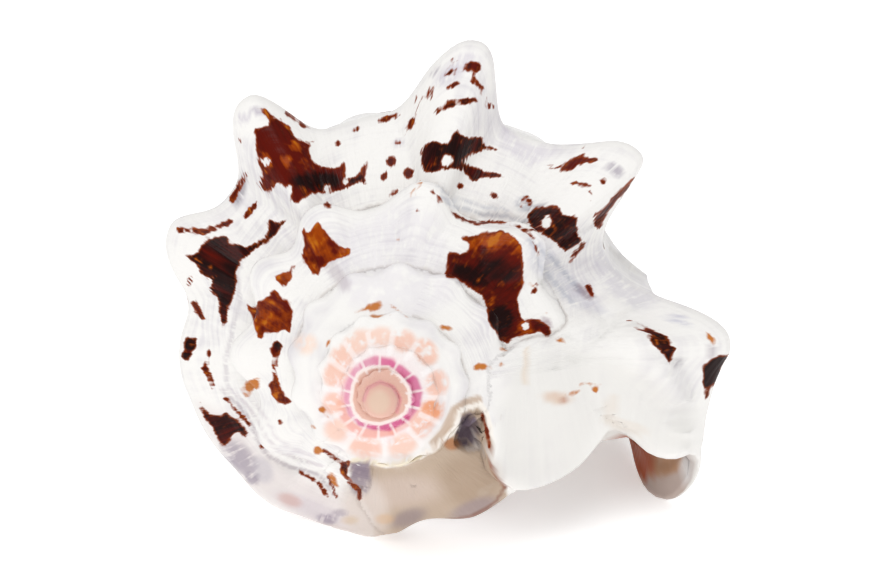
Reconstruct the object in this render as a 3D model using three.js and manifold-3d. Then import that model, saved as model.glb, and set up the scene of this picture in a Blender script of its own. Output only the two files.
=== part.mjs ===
// A knobbed true conch shell lying on its aperture. Millimetres, +Z up, origin under the middle.
//
// The shell is worked out round its own axis, the Y axis with the apex at 0, and tipped to its
// rest at the end: side is to the right (X), axial runs from the apex to the canal (Y) and back
// is up (Z). turn is the growth angle in degrees: 0 on the back of the last whorl, growing
// clockwise seen from the apex.
import * as THREE from 'three';
import { mergeVertices } from 'three/addons/utils/BufferGeometryUtils.js';
import Module from 'manifold-3d';

// Driving dimensions: millimetres and degrees
const shoulderRadius = 23.4;      // axis to shoulder at turn 0
const growthPerTurn = 1.5;        // one whorl to the next
const earlySize = 0.75;           // the first whorls are smaller than that, as a part
const earlyTurns = [-2300, -1150];
const apexLean = [-0.2, -0.45];   // how far they sit to the side and to the front of the axis
const leanReach = 12;
const shellLength = 79;           // apex to the tip of the canal
const solidEnd = -160;            // where the solid whorls end and the hollow of the aperture begins
const solidSpan = 354;            // each solid whorl is a little less than a turn
const solidOverlap = 6;           // and starts inside the end of the one before
const solidCount = 6;
const lidDepth = 0.74;            // the top of a solid whorl on the axis, as a part of its radius
const spireDepth = 2.2;           // and its bottom, inside the whorl after it
const startSink = 0.03;           // how far it starts below the surface, as a part of its radius
const lipTurn = 92;               // where the lip leaves the spiral and runs straight down
const wallThickness = 2.2;
const pillarRadius = 3.8;         // the column inside the last whorl
const pillarTaper = 0.02;
const tipLength = 5;              // rounded end of the column
const wallTaper = [0.47, 0.254];  // how fast the whorl narrows towards the column
const wallJoin = 2;               // softness of the join with the column, in square millimetres
const outerSkin = 0.4;            // how far the last whorl's wall stands proud of that column
const canalBend = [-2.5, -0.5];   // how far the canal's tip turns to the side and to the back
const bendFrom = 48;
const restPitch = 15.94;          // canal end down
const restRoll = 3.0;             // lip side down
const footDepth = 0.35;           // worn flat where the shell touches what it lies on

// Whorl profile from the lid inside the whorl before to below the shoulder: radius and axial
// place, both as parts of the shoulder's radius
const whorlProfile = [
  [0.50, 0.77], [0.64, 0.69], [0.73, 0.735], [0.83, 0.80], [0.93, 0.87],
  [1.00, 0.95], [0.985, 1.10], [0.935, 1.29], [0.875, 1.49], [0.80, 1.70],
];
const shoulderRow = 5;
const baseRow = whorlProfile.length - 1;
const tipRow = 14;

// Where the last whorl's upper rows go as its suture climbs the spire: radius and axial place in
// millimetres, row by row up to the shoulder
const climbedRows = [[9.0, 11.5], [10.2, 9.2], [13.2, 11.4], [17.8, 15.4], [22.4, 20.2], [26.2, 24.4]];
const climbStart = 70;
const climbEnd = 84;

// Knobs and dips of the shoulder: turn, height, reach before it and reach after it
const knobs = [
  [-482, 2.2, 2.4, 2.4], [-448, 2.3, 2.6, 2.4], [-416, 2.4, 2.6, 2.4], [-387, 2.6, 2.8, 2.6],
  [-350, 2.9, 3.0, 2.6], [-313, 2.9, 3.2, 2.6], [-201, 0.5, 3.0, 3.0], [-190, -1.4, 4.5, 4.5],
  [-176, 0.9, 3.0, 3.0], [-157, 0.5, 4.0, 4.0], [-139, 1.3, 3.5, 4.0], [-118, 1.4, 4.0, 4.5],
  [-96, 1.5, 4.0, 4.0], [-64, 4.1, 4.0, 2.8], [-52, 0.8, 4.0, 4.0], [-31, 7.9, 3.7, 2.6],
  [13.5, 8.8, 4.0, 3.0], [50.8, 6.8, 4.6, 2.3], [68, -3.3, 4.4, 4.8], [90, 7.3, 3.7, 6.0],
];
const knobPower = 2.4;            // 2 is a bell, higher is a blunter knob with steeper sides
const knobTilt = 8;               // knobs lean towards the apex
const rampSlope = 0.75;           // how fast a knob falls away towards the suture
const flankSlope = 1.15;          // and towards the canal
const tipRound = 1.3;
const dipReach = 0.48;            // how far a dip spreads, as a part of the shoulder's radius

// Ribs of the early whorls, and small knobs below the last shoulder: row, height, turn of one of
// them and the turn they start at
const ribSpacing = 27.5;
const ribHeight = 0.045;          // part of the shoulder's radius
const ribEnd = -632;
const lowSpacing = 30;
const lowWidth = 0.45;
const lowRows = [[7.0, 1.3, -164, -200], [8.6, 0.9, -150, -166], [10.2, 0.6, -135, -166]];

// Margin of the lip: row, side, back and axial place
const lipMargin = [
  [0.0, 8.6, -4.4, 11.5], [0.8, 9.2, -4.9, 9.6], [1.2, 9.3, -8.0, 10.4], [1.5, 9.8, -10.6, 11.8],
  [1.9, 12.0, -13.0, 14.6], [2.2, 14.6, -13.7, 16.8], [2.6, 17.9, -12.4, 18.6],
  [3.1, 20.2, -9.9, 19.8], [3.5, 21.4, -8.6, 20.8], [3.9, 23.6, -9.8, 22.4],
  [4.4, 26.4, -12.0, 24.0], [4.8, 28.6, -12.0, 25.3], [5.1, 30.2, -12.9, 26.4],
  [5.4, 29.8, -15.4, 27.5], [5.8, 28.0, -18.0, 29.5], [6.3, 25.6, -18.5, 31.5],
  [6.8, 24.2, -17.1, 34.5], [7.3, 23.5, -15.6, 37.5], [8.0, 22.3, -13.4, 41.5],
  [9.0, 20.0, -11.0, 46.5], [10.0, 17.0, -8.7, 53.0], [11.0, 14.4, -7.2, 59.5],
  [12.0, 11.8, -6.2, 65.5], [12.7, 9.8, -3.0, 69.0], [13.3, 8.0, -2.8, 73.0],
  [14.0, 5.8, -2.6, 77.0],
];
// Sideways swell of the lip between the whorl and its margin, row by row
const lipBow = [[4.2, 0], [5.2, 1.0], [6.4, 2.4], [8.0, 2.0], [10.0, 1.2], [12.0, 0.4], [14.0, 0]];
const thinFrom = 0.8;             // the wall thins over the last part before the margin
const marginThickness = 0.65;     // to this part of its thickness
const canalGap = 1.5;             // the wall ends this short of the column's tip

// Callus poured over the whorls under the lip: radius and axial place row by row at callusTurn,
// from its rim to where it sinks into the last whorl
const callusFrom = -254;
const callusTo = -166;
const callusTurn = -210;
const callusRows = [
  [8.3, 8.1], [9.0, 8.3], [9.8, 8.9], [11.2, 9.9], [12.8, 11.3], [14.7, 13.3], [16.7, 15.2], [18.7, 17.3],
];
const rimRows = 2;                // rows that go on alone as a rim round the canal behind the lip
const rimTurn = -228;
const callusThickness = 2.0;
const callusFade = [3.0, 1.0];    // how deep its two ends sink
const canalDepth = 1.6;           // how deep it lies behind the rim
const rimFlare = 1.6;             // how far the rim swings out to meet the lip

// The smooth first whorl
const budRadius = 1.75;

// How finely the surface is cut: stations along a whorl, and rows from suture to column
const lastSteps = 52;
const spireSteps = 42;
const innerSteps = 35;            // for whorls with a shoulder under innerUnder
const innerUnder = 4;
const wallSteps = 42;
const lipSteps = 5;
const callusSteps = 16;
const spireRows = [0, 0.9, 1.6, 2.8, 4.1, 5, 5.7, 7];
const lastRows = [0, 0.9, 1.6, 2.6, 3.6, 4.4, 5, 5.6, 6.3, 7, 7.8, 8.6, 9.6, 11, 12.6, 13.6];
const outerRows = [0, 0.8, 1.35, 1.9, 2.5, 3.1, 3.6, 4.1, 4.55, 5, 5.45, 6, 6.6, 7.3, 8.2, 9.4, 10.8,
  12, 12.7, 13.3, 14];
const innerRows = [0, 1.35, 2.5, 3.6, 4.5, 5.4, 6.6, 8.1, 10, 12, 12.9, 14];

const radians = Math.PI / 180;
const blend = (a, b, t) => a + (b - a) * t;

function smoothStep(from, to, x) {
  const t = Math.min(1, Math.max(0, (x - from) / (to - from)));
  return t * t * (3 - 2 * t);
}

// Radius of the shoulder
function shoulderAt(turn) {
  const size = blend(earlySize, 1, smoothStep(...earlyTurns, turn));
  return shoulderRadius * growthPerTurn ** (turn / 360) * size;
}

// A smooth line through points, at a place counted in points
function through(points, place) {
  const last = points.length - 1;
  const i = Math.min(last - 1, Math.max(0, Math.floor(place)));
  const t = place - i;
  const [a, b, c, d] = [i - 1, i, i + 1, i + 2].map((n) => points[Math.min(last, Math.max(0, n))]);
  return b.map((value, n) => 0.5 * (2 * value + (c[n] - a[n]) * t
    + (2 * a[n] - 5 * value + 4 * c[n] - d[n]) * t * t
    + (3 * value - a[n] - 3 * c[n] + d[n]) * t * t * t));
}

// The same, where the first number of each point says at which key it lies
function throughKeys(points, key) {
  let i = 0;
  while (i < points.length - 2 && key > points[i + 1][0]) {
    i += 1;
  }
  const t = Math.min(1, Math.max(0, (key - points[i][0]) / (points[i + 1][0] - points[i][0])));
  return through(points.map((point) => point.slice(1)), i + t);
}

// The column: it thickens upwards and closes round at the canal's tip
function pillarAt(axial) {
  const tip = Math.max(0, (axial - shellLength + tipLength) / tipLength);
  return (pillarRadius + pillarTaper * (shellLength - axial)) * Math.sqrt(Math.max(0, 1 - tip * tip));
}

// Below the profile's last row the whorl narrows to the column
function lowerRadius(turn, axial) {
  const shoulder = shoulderAt(turn);
  const past = axial / shoulder - whorlProfile[baseRow][1];
  const wall = shoulder * whorlProfile[baseRow][0] * Math.exp(-past * (wallTaper[0] + wallTaper[1] * past));
  const pillar = pillarAt(axial) + outerSkin * smoothStep(solidEnd, solidEnd + 60, turn);
  return (wall + pillar + Math.sqrt((wall - pillar) ** 2 + wallJoin)) / 2;
}

// Radius and axial place of the smooth whorl, without knobs
function whorlPoint(turn, row, end) {
  const shoulder = shoulderAt(turn);
  if (row > baseRow) {
    const top = whorlProfile[baseRow][1] * shoulder;
    const axial = blend(top, end, (row - baseRow) / (tipRow - baseRow));
    return [lowerRadius(turn, axial), axial];
  }
  const [radius, axial] = through(whorlProfile, row).map((value) => value * shoulder);
  const climb = smoothStep(climbStart, climbEnd, turn) * (1 - smoothStep(3.2, shoulderRow, row));
  const high = through(climbedRows, Math.min(row, shoulderRow));
  return [blend(radius, high[0], climb), blend(axial, high[1], climb)];
}

// Height of the knobs on the shoulder
function keelHeight(turn) {
  let height = 0;
  for (const [place, rise, before, after] of knobs) {
    const distance = (turn - place) * radians * shoulderAt(place);
    const reach = distance < 0 ? before : after;
    height += rise * Math.exp(-(Math.abs(distance / reach) ** knobPower));
  }
  const ribs = 1 - smoothStep(ribEnd - 10, ribEnd + 20, turn);
  return height + ribs * ribHeight * shoulderAt(turn) * (1 + Math.cos(turn / ribSpacing * 2 * Math.PI));
}

// Height of the knobs at a row: each falls away as a cone from the shoulder
function knobHeight(turn, row, point) {
  const shoulder = shoulderAt(turn);
  const keel = keelHeight(turn);
  const away = Math.hypot(point[0] - shoulder, point[1] - whorlProfile[shoulderRow][1] * shoulder);
  const reach = keel < 0 ? Math.exp(-((away / (dipReach * shoulder)) ** 2)) : 0;
  const round = tipRound * shoulder / shoulderRadius;
  const slope = row < shoulderRow ? rampSlope : flankSlope;
  const cone = Math.max(0, keel - slope * (Math.hypot(away, round) - round));
  let height = keel < 0 ? keel * reach : cone;
  for (const [place, rise, first, start] of lowRows) {
    const wave = turn > start ? Math.max(0, Math.cos((turn - first) / lowSpacing * 2 * Math.PI)) : 0;
    const worn = 1 - 0.5 * smoothStep(-120, -60, turn);
    height += rise * worn * wave * Math.exp(-(((row - place) / lowWidth) ** 2));
  }
  return height;
}

// The apex and the canal both turn aside a little
function bent(point) {
  const lean = 1 - smoothStep(0, leanReach, point.y);
  point.x += apexLean[0] * lean;
  point.z += apexLean[1] * lean;
  const along = Math.max(0, (point.y - bendFrom) / (shellLength - bendFrom)) ** 2;
  point.x += canalBend[0] * along;
  point.z += canalBend[1] * along;
  return point;
}

const placed = (turn, radius, axial) => bent(new THREE.Vector3(
  radius * Math.sin(turn * radians),
  axial,
  radius * Math.cos(turn * radians),
));

// A point of the last whorl or of the lip beyond it; past runs from 0 at the lip's start to 1 at
// its margin
function shellPoint(turn, row, past, raised, end) {
  const point = whorlPoint(turn, row, end);
  const height = knobHeight(turn, row, point);
  const lift = raised ? height : Math.min(0, height);
  const radius = point[0] + lift * Math.cos(knobTilt * radians);
  const axial = point[1] - lift * Math.sin(knobTilt * radians);
  const start = placed(turn, radius, axial);
  if (past <= 0) {
    return start;
  }
  const [side, back, depth] = throughKeys(lipMargin, row);
  const margin = bent(new THREE.Vector3(side, depth, back));
  const bow = row < lipBow[0][0] ? 0 : throughKeys(lipBow, row)[0];
  start.lerp(margin, past);
  start.x += bow * 4 * past * (1 - past) - lift * past * (1 - past);
  return start;
}

// One closed solid from loops of points with the same count, and a cap on each end
function solidFromLoops(loops, capStart, capEnd) {
  const count = loops[0].length;
  const positions = loops.flat().flatMap((point) => point.toArray());
  const faces = [];
  for (let i = 0; i < loops.length - 1; i += 1) {
    for (let j = 0; j < count; j += 1) {
      const [a, b] = [i * count + j, i * count + (j + 1) % count];
      faces.push([a, b + count, b], [a, a + count, b + count]);
    }
  }
  const offset = (loops.length - 1) * count;
  for (const [a, b, c] of capStart) {
    faces.push([a, b, c]);
  }
  for (const [a, b, c] of capEnd) {
    faces.push([offset + a, offset + c, offset + b]);
  }
  return new wasm.Manifold(new wasm.Mesh({
    numProp: 3,
    vertProperties: new Float32Array(positions),
    triVerts: new Uint32Array(faces.flat()),
  }));
}

// Cap between the outer and the inner half of a loop: the inner half runs back from the end
function capAcross(outer, inner) {
  const faces = [];
  const total = outer + inner;
  let i = 0;
  let j = 0;
  while (i < outer - 1 || j < inner - 1) {
    const innerNow = total - 1 - j;
    if (j >= inner - 1 || (i < outer - 1 && (i + 1) / (outer - 1) <= (j + 1) / (inner - 1))) {
      faces.push([i, i + 1, innerNow]);
      i += 1;
    } else {
      faces.push([i, innerNow - 1, innerNow]);
      j += 1;
    }
  }
  return faces;
}

const wasm = await Module();
wasm.setup();

const spread = (from, to, count) => Array.from({ length: count + 1 }, (_, i) => blend(from, to, i / count));

// Evenly spread turns, where the nearest one is moved to the tip of each knob
function stationTurns(from, to, steps) {
  const turns = spread(from, to, steps);
  const reach = (to - from) / steps / 2;
  const inside = turns.slice(1, -1).map((turn) => {
    const knob = knobs.find(([place]) => Math.abs(place - turn) < reach);
    return knob ? knob[0] : turn;
  });
  return [from, ...inside, to];
}

// Most of a turn of a whorl, solid to the axis. Its start lies inside the whorl before it
function whorlSolid(from, steps, rows, end) {
  const top = placed(0, 0, lidDepth * shoulderAt(from + 200));
  const bottom = placed(0, 0, end);
  const loops = stationTurns(from, from + solidSpan, steps).map((turn) => {
    const sink = 1 - startSink * (1 - smoothStep(from, from + 1.5 * solidOverlap, turn));
    const wall = rows.map((row) => shellPoint(turn, row, 0, true, end));
    for (const point of wall) {
      point.x *= sink;
      point.z *= sink;
    }
    return [...wall, bottom, top];
  });
  const fan = rows.slice(0, -1).map((_, j) => [rows.length + 1, j, j + 1]);
  fan.push([rows.length + 1, rows.length - 1, rows.length]);
  return solidFromLoops(loops, fan, fan);
}

// The last three quarters of a turn: a wall with the hollow of the aperture behind it
function lastWhorlSolid() {
  const stations = [];
  for (const turn of stationTurns(solidEnd - solidOverlap, lipTurn, wallSteps)) {
    stations.push([turn, 0]);
  }
  for (const past of spread(0, 1, lipSteps).slice(1)) {
    stations.push([lipTurn, past]);
  }
  const end = shellLength - canalGap;
  const loops = stations.map(([turn, past]) => {
    const thin = blend(1, marginThickness, smoothStep(thinFrom, 1, past));
    const sink = 1 - 0.5 * startSink * (1 - smoothStep(solidEnd - solidOverlap, solidEnd + 3, turn));
    const outer = outerRows.map((row) => shellPoint(turn, row, past, true, end));
    const inner = innerRows.map((row) => {
      const here = shellPoint(turn, row, past, false, end);
      const along = shellPoint(turn, Math.min(tipRow, row + 0.1), past, false, end)
        .sub(shellPoint(turn, Math.max(0, row - 0.1), past, false, end));
      const across = past > 0
        ? shellPoint(turn, row, Math.min(1, past + 0.05), false, end)
          .sub(shellPoint(turn, row, past - 0.05, false, end))
        : shellPoint(turn + 1, row, 0, false, end).sub(shellPoint(turn - 1, row, 0, false, end));
      const inward = along.cross(across).normalize();
      return here.addScaledVector(inward, wallThickness * thin);
    });
    for (const point of outer) {
      point.x *= sink;
      point.z *= sink;
    }
    return [...outer, ...inner.reverse()];
  });
  const cap = capAcross(outerRows.length, innerRows.length);
  return solidFromLoops(loops, cap, cap);
}

// The callus: a thick skin over two whorls. Short of rimTurn only its rim shows
function callusSolid() {
  const loops = spread(callusFrom, callusTo, callusSteps).map((turn) => {
    const growth = shoulderAt(turn) / shoulderAt(callusTurn);
    const fade = callusFade[0] * (1 - smoothStep(callusFrom, callusFrom + 8, turn))
      + callusFade[1] * smoothStep(callusTo - 10, callusTo, turn);
    const canal = canalDepth * (1 - smoothStep(rimTurn - 3, rimTurn + 5, turn));
    const flare = rimFlare * (1 - smoothStep(callusFrom, rimTurn, turn));
    const dip = Math.min(0, keelHeight(turn)) / (callusRows.length - 1);
    const outer = callusRows.map(([radius, axial], row) => {
      const isRim = row < rimRows;
      return placed(
        turn,
        radius * growth + (isRim ? flare : 0.3 * flare) + dip * row,
        axial * growth + fade + (isRim ? 0 : canal),
      );
    });
    const inner = callusRows.map(([radius, axial], row) => placed(
      turn,
      radius * growth - 0.4 * callusThickness + dip * row,
      axial * growth + 1.5 * callusThickness,
    ));
    return [...outer, ...inner.reverse()];
  });
  const cap = capAcross(callusRows.length, callusRows.length);
  return solidFromLoops(loops, cap, cap);
}

// A closed three.js geometry as a solid
function solidFrom(geometry) {
  geometry.deleteAttribute('normal');
  geometry.deleteAttribute('uv');
  const merged = mergeVertices(geometry);
  return new wasm.Manifold(new wasm.Mesh({
    numProp: 3,
    vertProperties: new Float32Array(merged.attributes.position.array),
    triVerts: new Uint32Array(merged.index.array),
  }));
}

let shell = whorlSolid(solidEnd - solidSpan, lastSteps, lastRows, shellLength);
for (let i = 1; i < solidCount; i += 1) {
  const from = solidEnd - solidSpan - i * (solidSpan - solidOverlap);
  const steps = shoulderAt(from) < innerUnder ? innerSteps : spireSteps;
  shell = shell.add(whorlSolid(from, steps, spireRows, spireDepth * shoulderAt(from + 360)));
}
const bud = new THREE.SphereGeometry(budRadius, 14, 9).translate(apexLean[0], budRadius, apexLean[1]);
shell = shell.add(solidFrom(bud)).add(lastWhorlSolid()).add(callusSolid());
// Overlapping whorls can leave a closed gap thinner than a hair: only the body itself is kept
[shell] = shell.decompose().sort((a, b) => b.volume() - a.volume());

// A solid as three.js geometry
function geometryFrom(solid) {
  const { vertProperties, triVerts } = solid.getMesh();
  const geometry = new THREE.BufferGeometry();
  geometry.setAttribute('position', new THREE.BufferAttribute(vertProperties, 3));
  geometry.setIndex(new THREE.BufferAttribute(triVerts, 1));
  return geometry;
}

// Tip the shell to its rest, wear flats where it touches the floor, and put it over the origin
const rest = new THREE.Matrix4().makeRotationY(-restRoll * radians)
  .multiply(new THREE.Matrix4().makeRotationX(-restPitch * radians));
const tipped = geometryFrom(shell).applyMatrix4(rest);
tipped.computeBoundingBox();
const middle = tipped.boundingBox.getCenter(new THREE.Vector3());
const floorHeight = tipped.boundingBox.min.z + footDepth;
const floor = new THREE.BoxGeometry(2 * shellLength, 2 * shellLength, shellLength);
floor.translate(middle.x, middle.y, floorHeight - shellLength / 2);
const geometry = geometryFrom(solidFrom(tipped).subtract(solidFrom(floor)));
geometry.translate(-middle.x, -middle.y, -floorHeight);

const mesh = new THREE.Mesh(geometry, new THREE.MeshStandardMaterial({ color: '#efe6da', roughness: 0.35 }));
mesh.name = 'shell';
const group = new THREE.Group();
group.add(mesh);
export default group;
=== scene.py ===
import math

import bmesh
import bpy
import numpy as np
from mathutils import Matrix, Vector
from mathutils.bvhtree import BVHTree
from mathutils.kdtree import KDTree


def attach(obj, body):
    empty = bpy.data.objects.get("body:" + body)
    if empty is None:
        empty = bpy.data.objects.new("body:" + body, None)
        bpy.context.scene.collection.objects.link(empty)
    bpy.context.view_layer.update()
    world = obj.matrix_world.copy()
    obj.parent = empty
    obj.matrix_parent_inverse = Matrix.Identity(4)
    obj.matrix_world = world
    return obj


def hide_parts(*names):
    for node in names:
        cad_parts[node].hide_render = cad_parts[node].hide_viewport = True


# a knobbed true conch shell lying on its aperture
# shell frame, in mm: X side, Y from the apex to the canal, Z back
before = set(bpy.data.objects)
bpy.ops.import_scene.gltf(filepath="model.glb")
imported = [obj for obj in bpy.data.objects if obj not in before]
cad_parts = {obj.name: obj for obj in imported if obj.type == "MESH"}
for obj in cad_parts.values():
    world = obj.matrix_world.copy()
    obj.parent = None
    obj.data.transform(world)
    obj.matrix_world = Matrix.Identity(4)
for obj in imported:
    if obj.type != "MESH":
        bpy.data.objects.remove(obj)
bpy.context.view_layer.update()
print("frame loaded")

# the form repeats the named values of the part's source
shell = {
    "shoulderRadius": 23.4,
    "growthPerTurn": 1.5,
    "earlySize": 0.75,
    "earlyTurns": (-2300, -1150),
    "apexLean": (-0.2, -0.45),
    "leanReach": 12,
    "length": 79,
    "solidEnd": -160,
    "solidSpan": 354,
    "solidOverlap": 6,
    "solidCount": 6,
    "lidDepth": 0.74,
    "lidTurn": 200,
    "spireDepth": 2.2,
    "startSink": 0.03,
    "lastSink": 0.015,
    "sinkSpan": 9,
    "lipTurn": 92,
    "wall": 2.2,
    "pillarRadius": 3.8,
    "pillarTaper": 0.02,
    "tipLength": 5,
    "wallTaper": (0.47, 0.254),
    "wallJoin": 2,
    "outerSkin": 0.4,
    "skinSpan": 60,
    "canalBend": (-2.5, -0.5),
    "bendFrom": 48,
    "profile": [
        (0.50, 0.77), (0.64, 0.69), (0.73, 0.735), (0.83, 0.80), (0.93, 0.87),
        (1.00, 0.95), (0.985, 1.10), (0.935, 1.29), (0.875, 1.49), (0.80, 1.70),
    ],
    "shoulderRow": 5,
    "baseRow": 9,
    "tipRow": 14,
    "climbed": [(9.0, 11.5), (10.2, 9.2), (13.2, 11.4), (17.8, 15.4), (22.4, 20.2), (26.2, 24.4)],
    "climb": (70, 84),
    "climbRow": 3.2,
    "bud": 1.75,
    "budFlat": 0.8,
}

# turn, height, reach before and reach after, in degrees and mm
knobs = {
    "tips": [
        (-482, 2.2, 2.4, 2.4), (-448, 2.3, 2.6, 2.4), (-416, 2.4, 2.6, 2.4), (-387, 2.6, 2.8, 2.6),
        (-350, 2.9, 3.0, 2.6), (-313, 2.9, 3.2, 2.6), (-201, 0.5, 3.0, 3.0), (-190, -1.4, 4.5, 4.5),
        (-176, 0.9, 3.0, 3.0), (-157, 0.5, 4.0, 4.0), (-139, 1.3, 3.5, 4.0), (-118, 1.4, 4.0, 4.5),
        (-96, 1.5, 4.0, 4.0), (-64, 4.1, 4.0, 2.8), (-52, 0.8, 4.0, 4.0), (-31, 7.9, 3.7, 2.6),
        (13.5, 8.8, 4.0, 3.0), (50.8, 6.8, 4.6, 2.3), (68, -3.3, 4.4, 4.8), (90, 7.3, 3.7, 6.0),
    ],
    "power": 2.4,
    "tilt": 8,
    "rampSlope": 0.75,
    "flankSlope": 1.15,
    "tipRound": 1.3,
    "dipReach": 0.48,
    "ribSpacing": 27.5,
    "ribHeight": 0.045,
    "ribEnd": (-642, -612),
    "lowSpacing": 30,
    "lowWidth": 0.45,
    "low": [(7.0, 1.3, -164, -200), (8.6, 0.9, -150, -166), (10.2, 0.6, -135, -166)],
    "lowWorn": 0.5,
    "wornTurns": (-120, -60),
}

# the lip's margin: row, side, back and axial place; bow is its sideways swell
lip = {
    "margin": [
        (0.0, 8.6, -4.4, 11.5), (0.8, 9.2, -4.9, 9.6), (1.2, 9.3, -8.0, 10.4), (1.5, 9.8, -10.6, 11.8),
        (1.9, 12.0, -13.0, 14.6), (2.2, 14.6, -13.7, 16.8), (2.6, 17.9, -12.4, 18.6),
        (3.1, 20.2, -9.9, 19.8), (3.5, 21.4, -8.6, 20.8), (3.9, 23.6, -9.8, 22.4),
        (4.4, 26.4, -12.0, 24.0), (4.8, 28.6, -12.0, 25.3), (5.1, 30.2, -12.9, 26.4),
        (5.4, 29.8, -15.4, 27.5), (5.8, 28.0, -18.0, 29.5), (6.3, 25.6, -18.5, 31.5),
        (6.8, 24.2, -17.1, 34.5), (7.3, 23.5, -15.6, 37.5), (8.0, 22.3, -13.4, 41.5),
        (9.0, 20.0, -11.0, 46.5), (10.0, 17.0, -8.7, 53.0), (11.0, 14.4, -7.2, 59.5),
        (12.0, 11.8, -6.2, 65.5), (12.7, 9.8, -3.0, 69.0), (13.3, 8.0, -2.8, 73.0),
        (14.0, 5.8, -2.6, 77.0),
    ],
    "bow": [(4.2, 0), (5.2, 1.0), (6.4, 2.4), (8.0, 2.0), (10.0, 1.2), (12.0, 0.4), (14.0, 0)],
    "reach": 23,
    "thinFrom": 0.8,
    "thin": 0.65,
    "notchRows": (1.9, 2.6, 4.6, 5.4),
    "notchFrom": 0.1,
    "notchThin": 0.22,
    "canalGap": 1.5,
    "lastPast": 0.975,
    "roundSteps": (20, 42, 62, 80),
    "worn": 0.4,
}

# turns and spans in degrees, the rest in mm; rows are radius and depth at the turn
callus = {
    "from": -254,
    "to": -166,
    "turn": -210,
    "rows": [
        (8.3, 8.1), (9.0, 8.3), (9.8, 8.9), (11.2, 9.9),
        (12.8, 11.3), (14.7, 13.3), (16.7, 15.2), (18.7, 17.3),
    ],
    "steps": (80, 46),
    "rimRows": 2,
    "rimTurn": -228,
    "thickness": 2.0,
    "sunk": (0.4, 1.5),
    "fade": (3.0, 1.0),
    "fadeSpans": (8, 10),
    "canalDepth": 1.6,
    "canalTurns": (-231, -223),
    "rimFlare": 1.6,
    "lowFlare": 0.3,
    "covers": (-650, -625, -530, -510),
}

# how it lies: degrees, and the apex in the frame's mm
rest = {"pitch": 15.94, "roll": 3.0, "offset": (-4.8490, -37.8214, 24.6511)}

# mesh spacing in mm, or in stretches of a first row and a spacing: the canal half is coarser
# rows are spaced out at the first and the last turn given here, and small whorls have a finer mesh
mesh = {
    "fine": 0.37,
    "first": [(0, 0.37), (7, 0.9)],
    "firstTip": 13.6,
    "firstTurn": -300,
    "outer": [(0, 0.37), (7.5, 0.9)],
    "inner": [(0, 1.5), (4.2, 0.8), (7.5, 2.1)],
    "lastTurn": 40,
    "spireRow": 7,
    "spireRadius": 12,
    "spireFinest": 0.35,
    "samples": 400,
    "sliver": 0.00002,  # this one in metres
}


def blend(a, b, t):
    return a + (b - a) * t


def smoothStep(start, end, x):
    t = np.clip((np.asarray(x, float) - start) / (end - start), 0, 1)
    return t * t * (3 - 2 * t)


def toShoulder(turn):
    size = blend(shell["earlySize"], 1, smoothStep(*shell["earlyTurns"], turn))
    return shell["shoulderRadius"] * shell["growthPerTurn"] ** (np.asarray(turn, float) / 360) * size


# a smooth line through points, at places counted in points
def through(points, place):
    pts = np.array(points, float)
    last = len(pts) - 1
    place = np.clip(np.asarray(place, float), 0, last)
    i = np.clip(np.floor(place).astype(int), 0, last - 1)
    t = (place - i)[..., None]
    a, b, c, d = (pts[np.clip(i + n, 0, last)] for n in (-1, 0, 1, 2))
    return 0.5 * (2 * b + (c - a) * t + (2 * a - 5 * b + 4 * c - d) * t * t
                  + (3 * b - a - 3 * c + d) * t * t * t)


def throughKeys(points, key):
    pts = np.array(points, float)
    i = np.searchsorted(pts[1:-1, 0], key, "left")
    t = np.clip((key - pts[i, 0]) / (pts[i + 1, 0] - pts[i, 0]), 0, 1)
    return through(pts[:, 1:], i + t)


def whorlPoint(turn, row, end):
    shoulder = toShoulder(turn)
    flat = through(shell["profile"], np.minimum(row, shell["baseRow"]))
    radius, axial = flat[..., 0] * shoulder, flat[..., 1] * shoulder
    climb = smoothStep(*shell["climb"], turn)
    climb = climb * (1 - smoothStep(shell["climbRow"], shell["shoulderRow"], row))
    high = through(shell["climbed"], np.minimum(row, shell["shoulderRow"]))
    radius, axial = blend(radius, high[..., 0], climb), blend(axial, high[..., 1], climb)
    baseRadius, baseDepth = shell["profile"][-1]
    deep = blend(baseDepth * shoulder, end, (row - shell["baseRow"]) / (shell["tipRow"] - shell["baseRow"]))
    past = deep / shoulder - baseDepth
    narrow, narrower = shell["wallTaper"]
    wall = shoulder * baseRadius * np.exp(-past * (narrow + narrower * past))
    tip = np.maximum(0, (deep - shell["length"] + shell["tipLength"]) / shell["tipLength"])
    pillar = shell["pillarRadius"] + shell["pillarTaper"] * (shell["length"] - deep)
    pillar = pillar * np.sqrt(np.maximum(0, 1 - tip * tip))
    skin = smoothStep(shell["solidEnd"], shell["solidEnd"] + shell["skinSpan"], turn)
    pillar = pillar + shell["outerSkin"] * skin
    low = (wall + pillar + np.sqrt((wall - pillar) ** 2 + shell["wallJoin"])) / 2
    below = row > shell["baseRow"]
    return np.where(below, low, radius), np.where(below, deep, axial)


def keelHeight(turn):
    height = np.zeros_like(turn)
    for place, rise, before, after in knobs["tips"]:
        distance = np.radians(turn - place) * toShoulder(place)
        reach = np.where(distance < 0, before, after)
        height = height + rise * np.exp(-(np.abs(distance / reach) ** knobs["power"]))
    ribs = 1 - smoothStep(*knobs["ribEnd"], turn)
    wave = 1 + np.cos(np.radians(turn / knobs["ribSpacing"] * 360))
    return height + ribs * knobs["ribHeight"] * toShoulder(turn) * wave


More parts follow.
